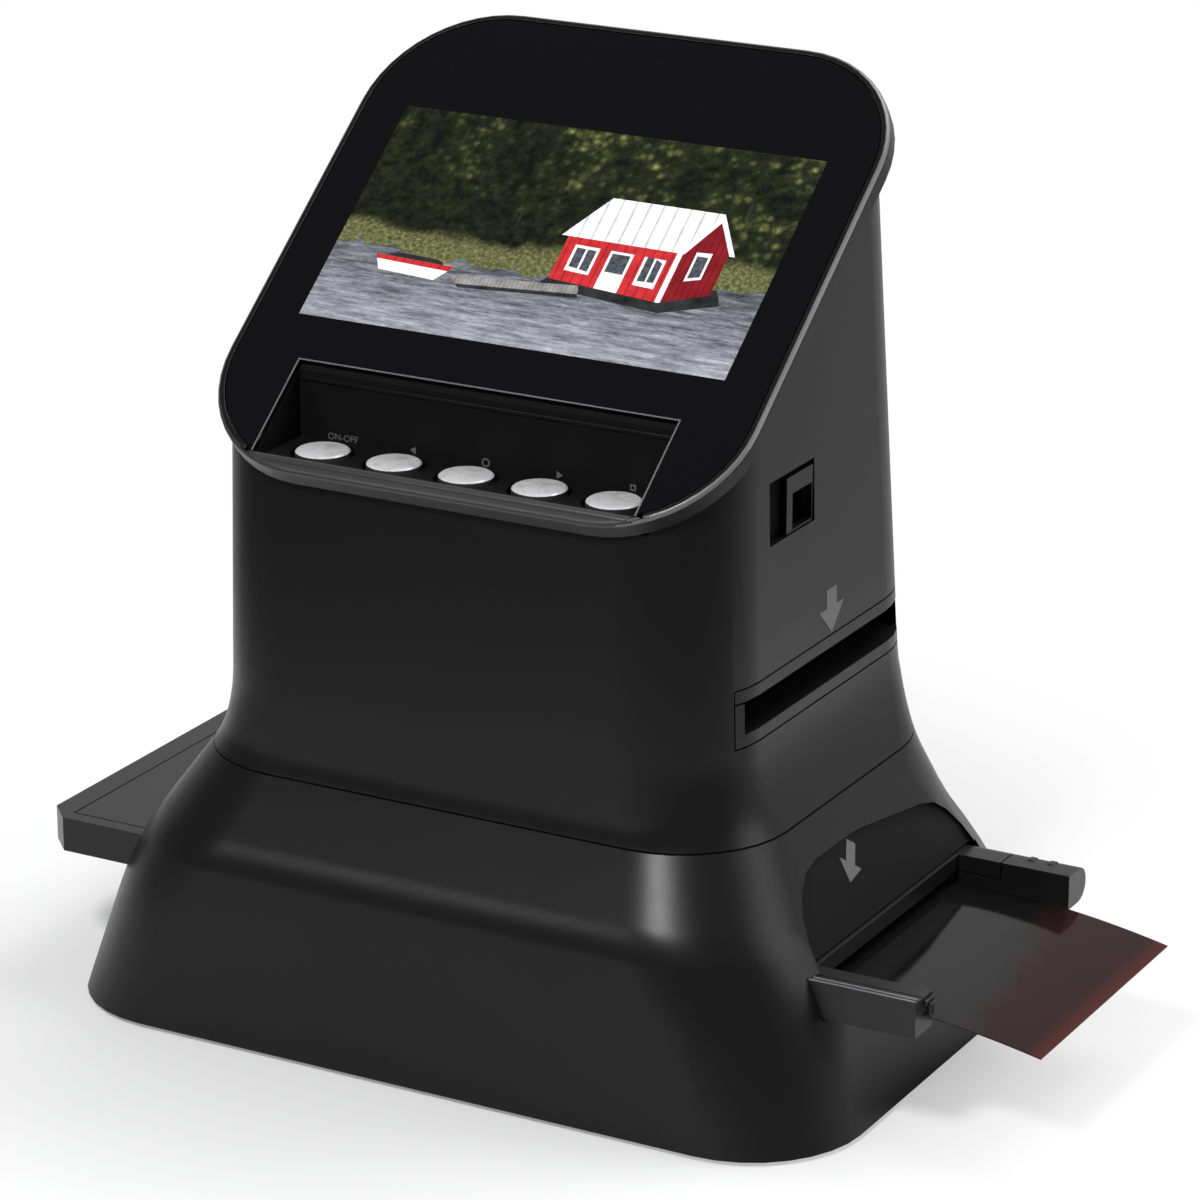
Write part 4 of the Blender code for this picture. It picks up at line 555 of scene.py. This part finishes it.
SLOT_FINISHES = {
    "housing": HOUSING,
    "holder": HOLDER,
    "window": WINDOW,
    "keys": SILVER,
    "feet": RUBBER,
    "inner_plastic": INNER,
    "white_plastic": WHITE,
    "board": BOARD,
    "chip": CHIP,
    "clear_glass": GLASS,
    "steel": STEEL,
}


def dress_nodes():
    """Each CAD node takes the finish of its slot in the record."""
    for row in frame["record"]["subparts"]:
        finish = SLOT_FINISHES.get(row["material_slot"])
        if finish is not None:
            mesh = nodes[row["node"]].data
            mesh.materials.clear()
            mesh.materials.append(finish)


# Modelling helpers


def active(piece):
    """Makes one piece the only selected one, so that operators act on it alone."""
    bpy.ops.object.select_all(action="DESELECT")
    piece.select_set(True)
    bpy.context.view_layer.objects.active = piece
    return piece


def apply_place():
    """Puts the place, turn and size of the piece in hand into its mesh."""
    bpy.ops.object.transform_apply(location=True, rotation=True, scale=True)


def settle(piece, name, finish, body):
    """Names a new piece, puts its place into its mesh, and lets it ride on a body."""
    piece.name = name
    active(piece)
    apply_place()
    piece.data.materials.clear()
    piece.data.materials.append(finish)
    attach(piece, body)
    piece.select_set(False)
    return piece


def edit(piece):
    """Opens a piece in edit mode with all of it selected."""
    active(piece)
    bpy.ops.object.mode_set(mode="EDIT")
    bpy.ops.mesh.select_all(action="SELECT")


def cut(place, across, clear_inner=False):
    """Cuts what is selected of the opened piece along a plane."""
    bpy.ops.mesh.bisect(plane_co=place, plane_no=across, clear_inner=clear_inner, threshold=CUT_TOLERANCE)


def thicken(way):
    """Gives the opened flat piece its thickness along a way, with its faces outward, and closes it."""
    bpy.ops.mesh.select_all(action="SELECT")
    bpy.ops.mesh.extrude_region_move(TRANSFORM_OT_translate={"value": way})
    bpy.ops.mesh.select_all(action="SELECT")
    bpy.ops.mesh.normals_make_consistent(inside=False)
    bpy.ops.object.mode_set(mode="OBJECT")


def lie_on_panel(piece, height):
    """Moves a piece from the flat to the panel: its X across, its Y up the slope, its Z outward."""
    piece.matrix_world = ON_PANEL @ Matrix.Translation((0.0, 0.0, height))
    active(piece)
    apply_place()


def bar(name, size, place, finish, body, edge):
    """A bar with rounded edges, by its size and middle."""
    bpy.ops.mesh.primitive_cube_add(size=1.0, location=place)
    piece = active(bpy.context.object)
    piece.dimensions = size
    apply_place()
    rounded = piece.modifiers.new("rounded_edges", "BEVEL")
    rounded.width = edge
    rounded.segments = 3
    bpy.ops.object.modifier_apply(modifier=rounded.name)
    bpy.ops.object.shade_smooth_by_angle(angle=math.radians(TRIM_SMOOTH_ANGLE))
    return settle(piece, name, finish, body)


# Housings, holder and keys, with broken edges


def softened(node_name, name, finish, edge=SOFT_EDGE, angle=SMOOTH_ANGLE, width_share=1.0):
    """A copy of a CAD node, its facets merged and shaded round and its edges broken, to stand for it."""
    source = nodes[node_name]
    piece = bpy.data.objects.new(name, source.data.copy())
    bpy.context.scene.collection.objects.link(piece)
    active(piece)
    bpy.ops.mesh.customdata_custom_splitnormals_clear()
    edit(piece)
    bpy.ops.mesh.remove_doubles(threshold=MERGE_DISTANCE)
    bpy.ops.mesh.dissolve_limited(angle_limit=math.radians(FLAT_ANGLE))
    low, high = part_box(node_name)
    sizes = (width_share, width_share, 1.0)
    bpy.ops.transform.resize(value=sizes, center_override=(low + high) / 2)
    bpy.ops.object.mode_set(mode="OBJECT")
    bpy.ops.object.shade_smooth_by_angle(angle=math.radians(angle))
    broken = piece.modifiers.new("broken_edges", "BEVEL")
    broken.width = edge
    broken.segments = 2
    broken.limit_method = "ANGLE"
    broken.angle_limit = math.radians(angle)
    broken.harden_normals = True
    bpy.ops.object.modifier_apply(modifier=broken.name)
    even = piece.modifiers.new("even_shading", "WEIGHTED_NORMAL")
    even.keep_sharp = True
    bpy.ops.object.modifier_apply(modifier=even.name)
    settle(piece, name, finish, source["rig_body"])
    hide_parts(node_name)
    return piece


def refinish(piece, finish, chosen):
    """Gives another finish to the faces that a test picks."""
    piece.data.materials.append(finish)
    slot = len(piece.data.materials) - 1
    for face in piece.data.polygons:
        if chosen(face):
            face.material_index = slot


def in_pocket(face):
    """Whether a face of the skirt lies on the wall of a hand pocket, below its crease or above it."""
    reach, height = abs(face.center.x), face.center.z
    crease = POCKET_FOOT_X - POCKET_LEAN * (POCKET_CREASE_HEIGHT - POCKET_FOOT_HEIGHT)
    if height < POCKET_CREASE_HEIGHT:
        wall = POCKET_FOOT_X - POCKET_LEAN * (height - POCKET_FOOT_HEIGHT)
    else:
        wall = crease - POCKET_UPPER_LEAN * (height - POCKET_CREASE_HEIGHT)
    near = height > POCKET_FOOT_HEIGHT and abs(reach - wall) < POCKET_WALL_TOLERANCE
    return near and abs(face.normal.y) < 0.1


def in_slot(face):
    """Whether a face of the channel or its cover looks into the slot."""
    return abs(face.normal.x) < 0.5


def on_lip(face):
    """Whether a face of the panel's rim lies along its front edge or on the bend at either end."""
    front = face.center.y < LIP_FRONT_Y and face.center.z < LIP_TOP
    bend = face.center.y < LIP_BEND_Y and face.normal.y < -0.3 and face.normal.z < 0.72
    return (front or bend) and abs(face.center.x) < LIP_END_X


def on_rim_edge(face):
    """Whether a face of the panel's rim is part of its broken outer edge."""
    square = face.normal.dot(PANEL_OUTWARD)
    outward = abs(face.normal.x) > 0.25 and abs(face.center.x) > RIM_CORNER_X
    return 0.25 < square < 0.95 and (outward or face.center.y > RIM_BACK_Y)


def on_right_rim_edge(face):
    """Whether a face of the panel's rim is part of its broken outer edge on the right."""
    return on_rim_edge(face) and face.normal.x > 0.25 and face.center.x > RIM_CORNER_X


def on_key_side(face):
    """Whether a face of a key is on its side."""
    return face.normal.z < 0.6


def soften_housing():
    """The pieces that are seen, with round corners and lightly broken edges, and painted shade and painted
    highlights on some faces.
    """
    softened("upper_housing", "tower_shell", HOUSING, FINE_EDGE)
    skirt = softened("lower_housing", "skirt_shell", HOUSING, FINE_EDGE, SKIRT_SMOOTH_ANGLE)
    # The pocket walls are painted darker as painted shade.
    refinish(skirt, RECESS_PAINTED_SHADE, in_pocket)
    rim = softened("panel_bezel", "panel_rim", HOUSING, RIM_EDGE)
    # The lip is painted pale in its middle as a highlight.
    refinish(rim, PAINTED_LIP_HIGHLIGHT, on_lip)
    # The rim's outer edges are painted pale as a highlight.
    refinish(rim, LIP, on_rim_edge)
    # The rim's right outer edge is painted paler still as a highlight.
    refinish(rim, EDGE, on_right_rim_edge)
    # The keypad recess is painted darker as painted shade.
    softened("keypad_tray", "key_well", RECESS_PAINTED_SHADE)
    # Faces of the channel and its cover that look into the slot are painted near black as painted shade.
    refinish(softened("slot_channel", "slot_liner", HOUSING, FINE_EDGE), SLOT_PAINTED_SHADE, in_slot)
    refinish(softened("slot_cover", "slot_roof", HOUSING, FINE_EDGE), SLOT_PAINTED_SHADE, in_slot)
    # The socket surround is painted near black as painted shade in the gap round the socket's face.
    softened("socket_surround", "socket_plate", SLOT_PAINTED_SHADE, PLATE_EDGE)
    softened("holder_base", "holder_tray", HOLDER)
    softened("holder_lid", "holder_cover", HOLDER)
    for number in range(1, KEY_COUNT + 1):
        key, cap = "key_" + str(number), "key_cap_" + str(number)
        # The sides of the key caps take the dark inner plastic as painted shade.
        refinish(softened(key, cap, SILVER, KEY_EDGE, width_share=KEY_CAP_SHARE), INNER, on_key_side)


# The lit picture: a boathouse by a lake, with woods behind


def glowing(tree, shader, colour):
    """Shows a colour as a lit screen does: partly by its own light."""
    fields = {
        "Base Color": colour,
        "Emission Color": colour,
        "Emission Strength": 0.55,
        "Roughness": 0.08,
        "Specular IOR Level": 0.32,
    }
    fill(tree, shader, fields)


def picture_place(tree):
    """Place on the picture from its own map, in picture heights, and its two parts."""
    chart = node(tree, "TexCoord").outputs["UV"]
    scales = (PICTURE_WIDTH / PICTURE_HEIGHT, 1.0, 1.0)
    where = node(tree, "Mapping", {"Vector": chart, "Scale": scales}).outputs["Vector"]
    parts = node(tree, "SeparateXYZ", {"Vector": where})
    return where, parts.outputs["X"], parts.outputs["Y"]


def woods(tree, where, across, up):
    """Dark trees with sunlit leaves towards the top right, and a few stems low down."""
    crowns = between(tree, noise(tree, where, 4.2, 4.0, 0.6), 0.38, 0.68)
    from_right = between(tree, across, 0.2, 1.7, 0.35, 1.0)
    cells = node(tree, "TexVoronoi", {"Vector": where, "Scale": 26.0}).outputs["Distance"]
    clumps = between(tree, cells, 0.55, 0.0, 0.25, 1.0)
    from_above = between(tree, up, 0.52, 0.86, 0.35, 1.15)
    lit = product(tree, crowns, from_right, clumps, from_above)
    leaves = noise(tree, where, 17.0, 9.0, 0.78)
    trees = ramp(
        tree,
        total(tree, product(tree, leaves, 0.55), product(tree, lit, 0.62)),
        (0.24, (0.003, 0.004, 0.003)),
        (0.36, (0.014, 0.018, 0.008)),
        (0.50, (0.070, 0.076, 0.026)),
        (0.66, (0.22, 0.22, 0.075)),
        (0.84, (0.44, 0.43, 0.22)),
    )
    stems = between(tree, stretched_noise(tree, where, (26.0, 1.6, 1.0), 3.0, 0.6), 0.64, 0.70)
    share = product(tree, stems, between(tree, up, 0.80, 0.60), 0.5)
    return blend_colours(tree, share, trees, (0.10, 0.085, 0.06, 1.0))


def lake(tree, where, up):
    """Grey water with drawn-out ripples, paler towards the front."""
    ripples = stretched_noise(tree, where, (5.0, 46.0, 1.0), 6.0, 0.68)
    sparkle = stretched_noise(tree, where, (34.0, 130.0, 1.0), 4.0, 0.7)
    near = between(tree, up, 0.42, 0.0, -0.13, 0.06)
    return ramp(
        tree,
        total(tree, product(tree, ripples, 0.7), product(tree, sparkle, 0.3), near),
        (0.26, (0.018, 0.024, 0.024)),
        (0.40, (0.075, 0.082, 0.092)),
        (0.54, (0.20, 0.205, 0.235)),
        (0.72, (0.42, 0.42, 0.47)),
    )


def grass(tree, where):
    """Grass of the bank."""
    return ramp(
        tree,
        noise(tree, where, 60.0, 6.0, 0.75),
        (0.3, (0.014, 0.018, 0.006)),
        (0.5, (0.085, 0.092, 0.035)),
        (0.7, (0.24, 0.23, 0.12)),
    )


def woods_and_water():
    """The lake, the bank over it and the woods over that, along an uneven shore."""
    material, tree, shader, _ = new_finish("woods_and_water")
    where, across, up = picture_place(tree)
    wander = between(tree, noise(tree, where, 5.0, 5.0, 0.6), 0.2, 0.8, -0.05, 0.05)
    bend = product(tree, maths(tree, "SINE", product(tree, across, 2.4)), 0.035)
    height = total(tree, up, wander, bend)
    on_bank = between(tree, height, 0.352, 0.362, smooth=True)
    in_woods = between(tree, height, 0.43, 0.49, smooth=True)
    shore = blend_colours(tree, on_bank, lake(tree, where, up), grass(tree, where))
    glowing(tree, shader, blend_colours(tree, in_woods, shore, woods(tree, where, across, up)))
    return material


def painted_boards(name, dark, light, boards=0.0, scale=1.0):
    """Boards, roof sheets or panes in the picture, with an uneven tone and any number of lines across."""
    material, tree, shader, _ = new_finish(name)
    where, across, _ = picture_place(tree)
    tone = noise(tree, where, 14.0 * scale, 5.0, 0.7)
    colour = two_shades(tree, between(tree, tone, 0.3, 0.7), dark, light)
    if boards:
        lines = maths(tree, "FRACT", product(tree, across, boards))
        shade = between(tree, lines, 0.0, 0.22, 0.45, 1.0)
        colour = blend_colours(tree, 1.0, colour, shade, "MULTIPLY")
    glowing(tree, shader, colour)
    return material


def picture_shapes():
    """What the picture shows, each part with its finish and its outline in mm from the lower left corner."""
    red = painted_boards("red_boards", (0.30, 0.014, 0.018), (0.50, 0.030, 0.034), 26.0)
    red_shade = painted_boards("red_boards_in_shade", (0.12, 0.006, 0.010), (0.20, 0.012, 0.016), 40.0)
    white = painted_boards("white_trim", (0.52, 0.53, 0.55), (0.78, 0.78, 0.80))
    roof = painted_boards("pale_roof", (0.50, 0.51, 0.54), (0.80, 0.80, 0.82), 18.0)
    pane = painted_boards("dark_panes", (0.010, 0.013, 0.018), (0.09, 0.10, 0.12), scale=4.0)
    wood = painted_boards("grey_wood", (0.10, 0.095, 0.09), (0.30, 0.29, 0.28), 60.0)
    dark = painted_boards("deep_shade", (0.006, 0.007, 0.008), (0.03, 0.032, 0.034))
    return (
        # The boathouse: its shade on the water, front, gable, roof and trim
        (dark, ((47.0, 15.2), (75.0, 12.8), (87.0, 16.5), (85.0, 20.0), (50.0, 19.0))),
        (red, ((49.0, 17.2), (74.0, 15.2), (74.0, 28.4), (49.0, 28.6))),
        (red_shade, ((74.0, 15.2), (84.0, 18.6), (84.0, 29.2), (79.2, 37.0), (74.0, 28.4))),
        (roof, ((47.4, 27.8), (73.6, 27.4), (79.4, 38.0), (54.5, 38.2))),
        (white, ((73.6, 27.4), (74.8, 27.4), (79.5, 35.9), (84.4, 28.0), (85.6, 28.0), (79.4, 38.0))),
        (white, ((73.3, 15.3), (74.5, 15.3), (74.5, 28.0), (73.3, 28.0))),
        # Its windows and door
        (white, ((51.4, 19.6), (57.0, 19.2), (57.0, 25.8), (51.4, 26.0))),
        (pane, ((52.0, 20.3), (54.0, 20.1), (54.0, 25.2), (52.0, 25.3))),
        (pane, ((54.5, 20.1), (56.4, 20.0), (56.4, 25.1), (54.5, 25.2))),
        (white, ((59.4, 16.3), (64.6, 15.9), (64.6, 25.6), (59.4, 25.8))),
        (pane, ((60.0, 20.6), (64.0, 20.4), (64.0, 25.0), (60.0, 25.1))),
        (white, ((67.0, 18.6), (71.8, 18.2), (71.8, 25.4), (67.0, 25.6))),
        (pane, ((67.6, 19.3), (69.2, 19.2), (69.2, 24.8), (67.6, 24.9))),
        (pane, ((69.7, 19.1), (71.2, 19.0), (71.2, 24.7), (69.7, 24.8))),
        (white, ((77.2, 21.0), (80.6, 22.0), (80.6, 28.4), (77.2, 28.2))),
        (pane, ((77.7, 21.8), (80.1, 22.5), (80.1, 27.7), (77.7, 27.6))),
        # The jetty and its side
        (wood, ((30.0, 12.6), (57.0, 14.4), (56.0, 16.4), (28.0, 14.4))),
        (dark, ((30.0, 11.7), (57.0, 13.5), (57.0, 14.4), (30.0, 12.6))),
        # The boat: its hull, its red strake and its inside
        (white, ((12.0, 13.4), (25.0, 12.6), (28.2, 16.4), (10.0, 17.0))),
        (red, ((10.6, 15.9), (27.2, 15.2), (28.2, 16.4), (10.0, 17.0))),
        (dark, ((12.0, 17.0), (26.6, 16.4), (24.0, 17.6), (14.0, 18.0))),
    )


def sides(corners):
    """The sides of a flat shape, each as its two corners."""
    return zip(corners, corners[1:] + corners[:1])


def inside(point, corners):
    """Whether a point lies in a flat shape given by its corners."""
    hit = False
    for (ax, ay), (bx, by) in sides(corners):
        if (ay > point.y) != (by > point.y) and point.x < ax + (point.y - ay) * (bx - ax) / (by - ay):
            hit = not hit
    return hit


def select_near(sheet, low, high):
    """Selects the faces of the opened sheet that reach into the box between two corners."""
    bpy.ops.mesh.select_all(action="DESELECT")
    for face in bmesh.from_edit_mesh(sheet.data).faces:
        along = [vertex.co.x for vertex in face.verts]
        above = [vertex.co.y for vertex in face.verts]
        beside = max(along) <= low[0] or min(along) >= high[0]
        apart = max(above) <= low[1] or min(above) >= high[1]
        if not beside and not apart:
            face.select_set(True)


def cut_outline(sheet, corners):
    """Cuts the opened sheet along the sides of an outline, where the outline's box reaches."""
    low = (min(x for x, _ in corners), min(y for _, y in corners))
    high = (max(x for x, _ in corners), max(y for _, y in corners))
    for (ax, ay), (bx, by) in sides(corners):
        select_near(sheet, low, high)
        cut((ax, ay, 0.0), (by - ay, ax - bx, 0.0))


def make_picture():
    """The picture sheet, cut along the outlines of what it shows, each part with its own colours."""
    shapes = picture_shapes()
    bpy.ops.mesh.primitive_plane_add(size=1.0)
    sheet = bpy.context.object
    sheet.dimensions = (PICTURE_WIDTH, PICTURE_HEIGHT, 0.0)
    sheet.location = (0.0, PICTURE_FROM_EDGE + PICTURE_HEIGHT / 2, 0.0)
    apply_place()
    corner = Vector((-PICTURE_WIDTH / 2, PICTURE_FROM_EDGE, 0.0))
    placed = [[(corner.x + x / 1000, corner.y + y / 1000) for x, y in outline] for _, outline in shapes]
    edit(sheet)
    for corners in placed:
        cut_outline(sheet, corners)
    bpy.ops.object.mode_set(mode="OBJECT")
    lie_on_panel(sheet, -PICTURE_SINK)
    settle(sheet, "screen_picture", woods_and_water(), "housing")
    finishes = [sheet.data.materials[0]]
    to_flat = ON_PANEL.inverted()
    for face in sheet.data.polygons:
        middle = to_flat @ face.center
        for (finish, _), corners in zip(shapes, placed):
            if inside(middle, corners):
                if finish not in finishes:
                    finishes.append(finish)
                    sheet.data.materials.append(finish)
                face.material_index = finishes.index(finish)


# Small trim on the panel, in the keypad and round the socket


def make_notch_edge():
    """The pale cut edge of the window round the keypad recess."""
    width = NOTCH_WIDTH + 2 * NOTCH_EDGE
    bpy.ops.mesh.primitive_plane_add(size=1.0, location=(0.0, NOTCH_TOP / 2 + NOTCH_EDGE, 0.0))
    strip = active(bpy.context.object)
    strip.dimensions = (width, NOTCH_TOP, 0.0)
    apply_place()
    edit(strip)
    bpy.ops.mesh.inset(thickness=NOTCH_EDGE)
    bpy.ops.mesh.delete(type="FACE")
    bpy.ops.mesh.select_all(action="SELECT")
    cut((0.0, NOTCH_START, 0.0), (0.0, 1.0, 0.0), clear_inner=True)
    thicken((0.0, 0.0, -NOTCH_EDGE_DEPTH))
    lie_on_panel(strip, -NOTCH_EDGE_SINK)
    settle(strip, "window_notch_edge", EDGE, "housing")


def make_lip():
    """The raised bar along the lip in front of the keys."""
    place = (0.0, LIP_BAR_FROM_EDGE, 0.0)
    # The bar is painted pale as a highlight.
    lip = bar("keypad_lip_bar", LIP_BAR_SIZE, place, LIP, "housing", LIP_BAR_EDGE)
    lie_on_panel(lip, -LIP_BAR_SINK)


def make_ledge():
    """The step along the back wall of the keypad recess."""
    place = (0.0, KEYPAD_BACK_Y, LEDGE_HEIGHT)
    bar("keypad_ledge", LEDGE_SIZE, place, HOUSING, "housing", LEDGE_EDGE)


def make_socket_face():
    """The moulded plate round the socket's mouth, flush with the side, with a deep gap before and above it."""
    _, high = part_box("socket_surround")
    bpy.ops.mesh.primitive_plane_add(size=1.0, rotation=(0.0, math.radians(90), 0.0))
    plate = active(bpy.context.object)
    apply_place()
    (front, rear), (foot, top) = SOCKET_FACE_Y, SOCKET_FACE_Z
    plate.scale = (1.0, rear - front, top - foot)
    plate.location = (high.x, (front + rear) / 2, (foot + top) / 2)
    apply_place()
    edit(plate)
    for y in SOCKET_MOUTH_Y:
        bpy.ops.mesh.select_all(action="SELECT")
        cut((0.0, y, 0.0), (0.0, 1.0, 0.0))
    for z in SOCKET_MOUTH_Z:
        bpy.ops.mesh.select_all(action="SELECT")
        cut((0.0, 0.0, z), (0.0, 0.0, 1.0))
    bpy.ops.mesh.select_all(action="DESELECT")
    for face in bmesh.from_edit_mesh(plate.data).faces:
        middle = face.calc_center_median()
        across = SOCKET_MOUTH_Y[0] < middle.y < SOCKET_MOUTH_Y[1]
        if across and SOCKET_MOUTH_Z[0] < middle.z < SOCKET_MOUTH_Z[1]:
            face.select_set(True)
    bpy.ops.mesh.delete(type="FACE")
    thicken((SOCKET_FACE_DEPTH, 0.0, 0.0))
    settle(plate, "socket_face", HOUSING, "housing")


# Prints


ON_RIGHT_SIDE = Matrix.Rotation(math.radians(90), 4, "Z") @ Matrix.Rotation(math.radians(90), 4, "X")
UPRIGHT = Matrix.Rotation(math.radians(90), 4, "X")


def stand_print(piece, name, place, turn):
    """Gives a flat print its thickness, turns it to a wall of the housing and settles it there."""
    edit(piece)
    thicken((0.0, 0.0, PRINT_THICKNESS))
    piece.matrix_world = Matrix.Translation(place) @ turn
    settle(piece, name, PRINT, "housing")


def flat_arrow(length, span, tail):
    """An arrow that lies flat and points along -Y, with its middle at the origin."""
    head = span / 2
    bpy.ops.mesh.primitive_circle_add(vertices=3, radius=1.0, fill_type="NGON")
    point = active(bpy.context.object)
    low_y = min(vertex.co.y for vertex in point.data.vertices)
    high_y = max(vertex.co.y for vertex in point.data.vertices)
    wide = max(vertex.co.x for vertex in point.data.vertices) * 2
    flip = -head / (high_y - low_y)
    point.scale = (span / wide, flip, 1.0)
    point.location = (0.0, -length / 2 + head - flip * low_y, 0.0)
    apply_place()
    stem_length = length - head
    bpy.ops.mesh.primitive_plane_add(size=1.0, location=(0.0, length / 2 - stem_length / 2, 0.0))
    stem = active(bpy.context.object)
    stem.dimensions = (tail, stem_length * ARROW_STEM_OVERLAP, 0.0)
    apply_place()
    point.select_set(True)
    bpy.ops.object.join()
    return stem


def leaning(slope):
    """The turn that leans a print inward with a wall on the right."""
    return Matrix.Rotation(-math.atan(slope), 4, "Y")


def make_arrows():
    """Arrows that say which way round the holders go in: over the slot and on the pocket's wall."""
    turn = leaning(TOWER_SIDE_LEAN) @ ON_RIGHT_SIDE
    stand_print(flat_arrow(*SLOT_ARROW_SIZE), "slot_arrow", SLOT_ARROW_PLACE, turn)
    twist = Matrix.Rotation(POCKET_ARROW_TWIST, 4, "X")
    turn = leaning(POCKET_UPPER_LEAN) @ twist @ ON_RIGHT_SIDE
    stand_print(flat_arrow(*POCKET_ARROW_SIZE), "pocket_arrow", POCKET_ARROW_PLACE, turn)


def word_mark(word):
    """A word that lies flat, with its middle at the origin."""
    bpy.ops.object.text_add()
    text = active(bpy.context.object)
    text.data.body = word
    text.data.size = MARK_WORD_SIZE
    text.data.align_x = "CENTER"
    text.data.align_y = "CENTER"
    bpy.ops.object.convert(target="MESH")
    return bpy.context.object


def flat_mark(sides_round, turn):
    """A flat mark with a number of sides, turned by some degrees."""
    bpy.ops.mesh.primitive_circle_add(vertices=sides_round, radius=MARK_RADIUS, fill_type="NGON")
    mark = active(bpy.context.object)
    mark.rotation_euler = (0.0, 0.0, math.radians(turn))
    apply_place()
    return mark


def outline_mark(sides_round):
    """The outline of a flat mark with a number of sides."""
    mark = flat_mark(sides_round, 45)
    edit(mark)
    bpy.ops.mesh.inset(thickness=MARK_RADIUS / 3)
    bpy.ops.mesh.delete(type="FACE")
    bpy.ops.object.mode_set(mode="OBJECT")
    return mark


def make_key_marks():
    """A small mark on the wall behind each key: a word, arrows to the left and right, a ring and a square."""
    marks = (word_mark("ON-OFF"), flat_mark(3, 90), outline_mark(24), flat_mark(3, -90), outline_mark(4))
    for number, (x, mark) in enumerate(zip(KEY_PLACES, marks), 1):
        place = (x, KEYPAD_BACK_Y - MARK_FROM_WALL, KEYPAD_FLOOR_HEIGHT + MARK_HEIGHT)
        stand_print(mark, "key_mark_" + str(number), place, UPRIGHT)


# Small features of the holder's arms


def arm_bar(name, size, place, sink, finish, edge):
    """A small bar on an arm of the holder, its middle some way below the arm's top."""
    middle = (*place, HOLDER_TOP - sink)
    bar(name, size, middle, finish, "film_holder", edge)


def make_arm_trim():
    """The two ridges along the front arm, its catch and hook, and the stops on the rear arm."""
    # The ridges are painted pale as a highlight.
    for number, y in enumerate(RIDGE_Y, 1):
        name = "front_arm_ridge_" + str(number)
        arm_bar(name, RIDGE_SIZE, (RIDGE_X, y), RIDGE_SINK, EDGE, RIDGE_EDGE)
    catch, hook = (FRONT_ARM_END_X, CATCH_Y), (FRONT_ARM_END_X, HOOK_Y)
    arm_bar("front_arm_catch", CATCH_SIZE, catch, CATCH_DEPTH, HOLDER, CATCH_EDGE)
    arm_bar("front_arm_hook", HOOK_SIZE, hook, HOOK_DEPTH, HOLDER, SMALL_TRIM_EDGE)
    for number, x in enumerate(STOP_X, 1):
        name = "rear_arm_stop_" + str(number)
        arm_bar(name, STOP_SIZE, (x, STOP_Y), STOP_SINK, HOLDER, SMALL_TRIM_EDGE)


# The strip of film


def make_film():
    """The strip, finely divided so that its drooping end bends in a smooth line."""
    low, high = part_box("film_strip")
    along, across = FILM_GRID
    bpy.ops.mesh.primitive_grid_add(x_subdivisions=along, y_subdivisions=across, size=1.0)
    strip = bpy.context.object
    strip.scale = (high.x - low.x, high.y - low.y, 1.0)
    strip.location = ((low.x + high.x) / 2, (low.y + high.y) / 2, 0.0)
    apply_place()
    middle = high.z - FILM_THICKNESS / 2
    droop = high.z - low.z - FILM_THICKNESS
    for vertex in strip.data.vertices:
        share = max(0.0, (vertex.co.x - FILM_DROOP_START) / (high.x - FILM_DROOP_START))
        vertex.co.z = middle - droop * share * share
    wall = strip.modifiers.new("thickness", "SOLIDIFY")
    wall.thickness = FILM_THICKNESS * FILM_SHEET_SHARE
    wall.offset = 0.0
    bpy.ops.object.modifier_apply(modifier=wall.name)
    bpy.ops.object.shade_smooth_by_angle(angle=math.radians(TRIM_SMOOTH_ANGLE))
    settle(strip, "film_sheet", film_base(), "film")
    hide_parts("film_strip")
    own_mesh(strip)


place_camera()
light_studio()
dress_nodes()
soften_housing()
make_picture()
make_notch_edge()
make_lip()
make_ledge()
make_socket_face()
make_arrows()
make_key_marks()
make_arm_trim()
make_film()
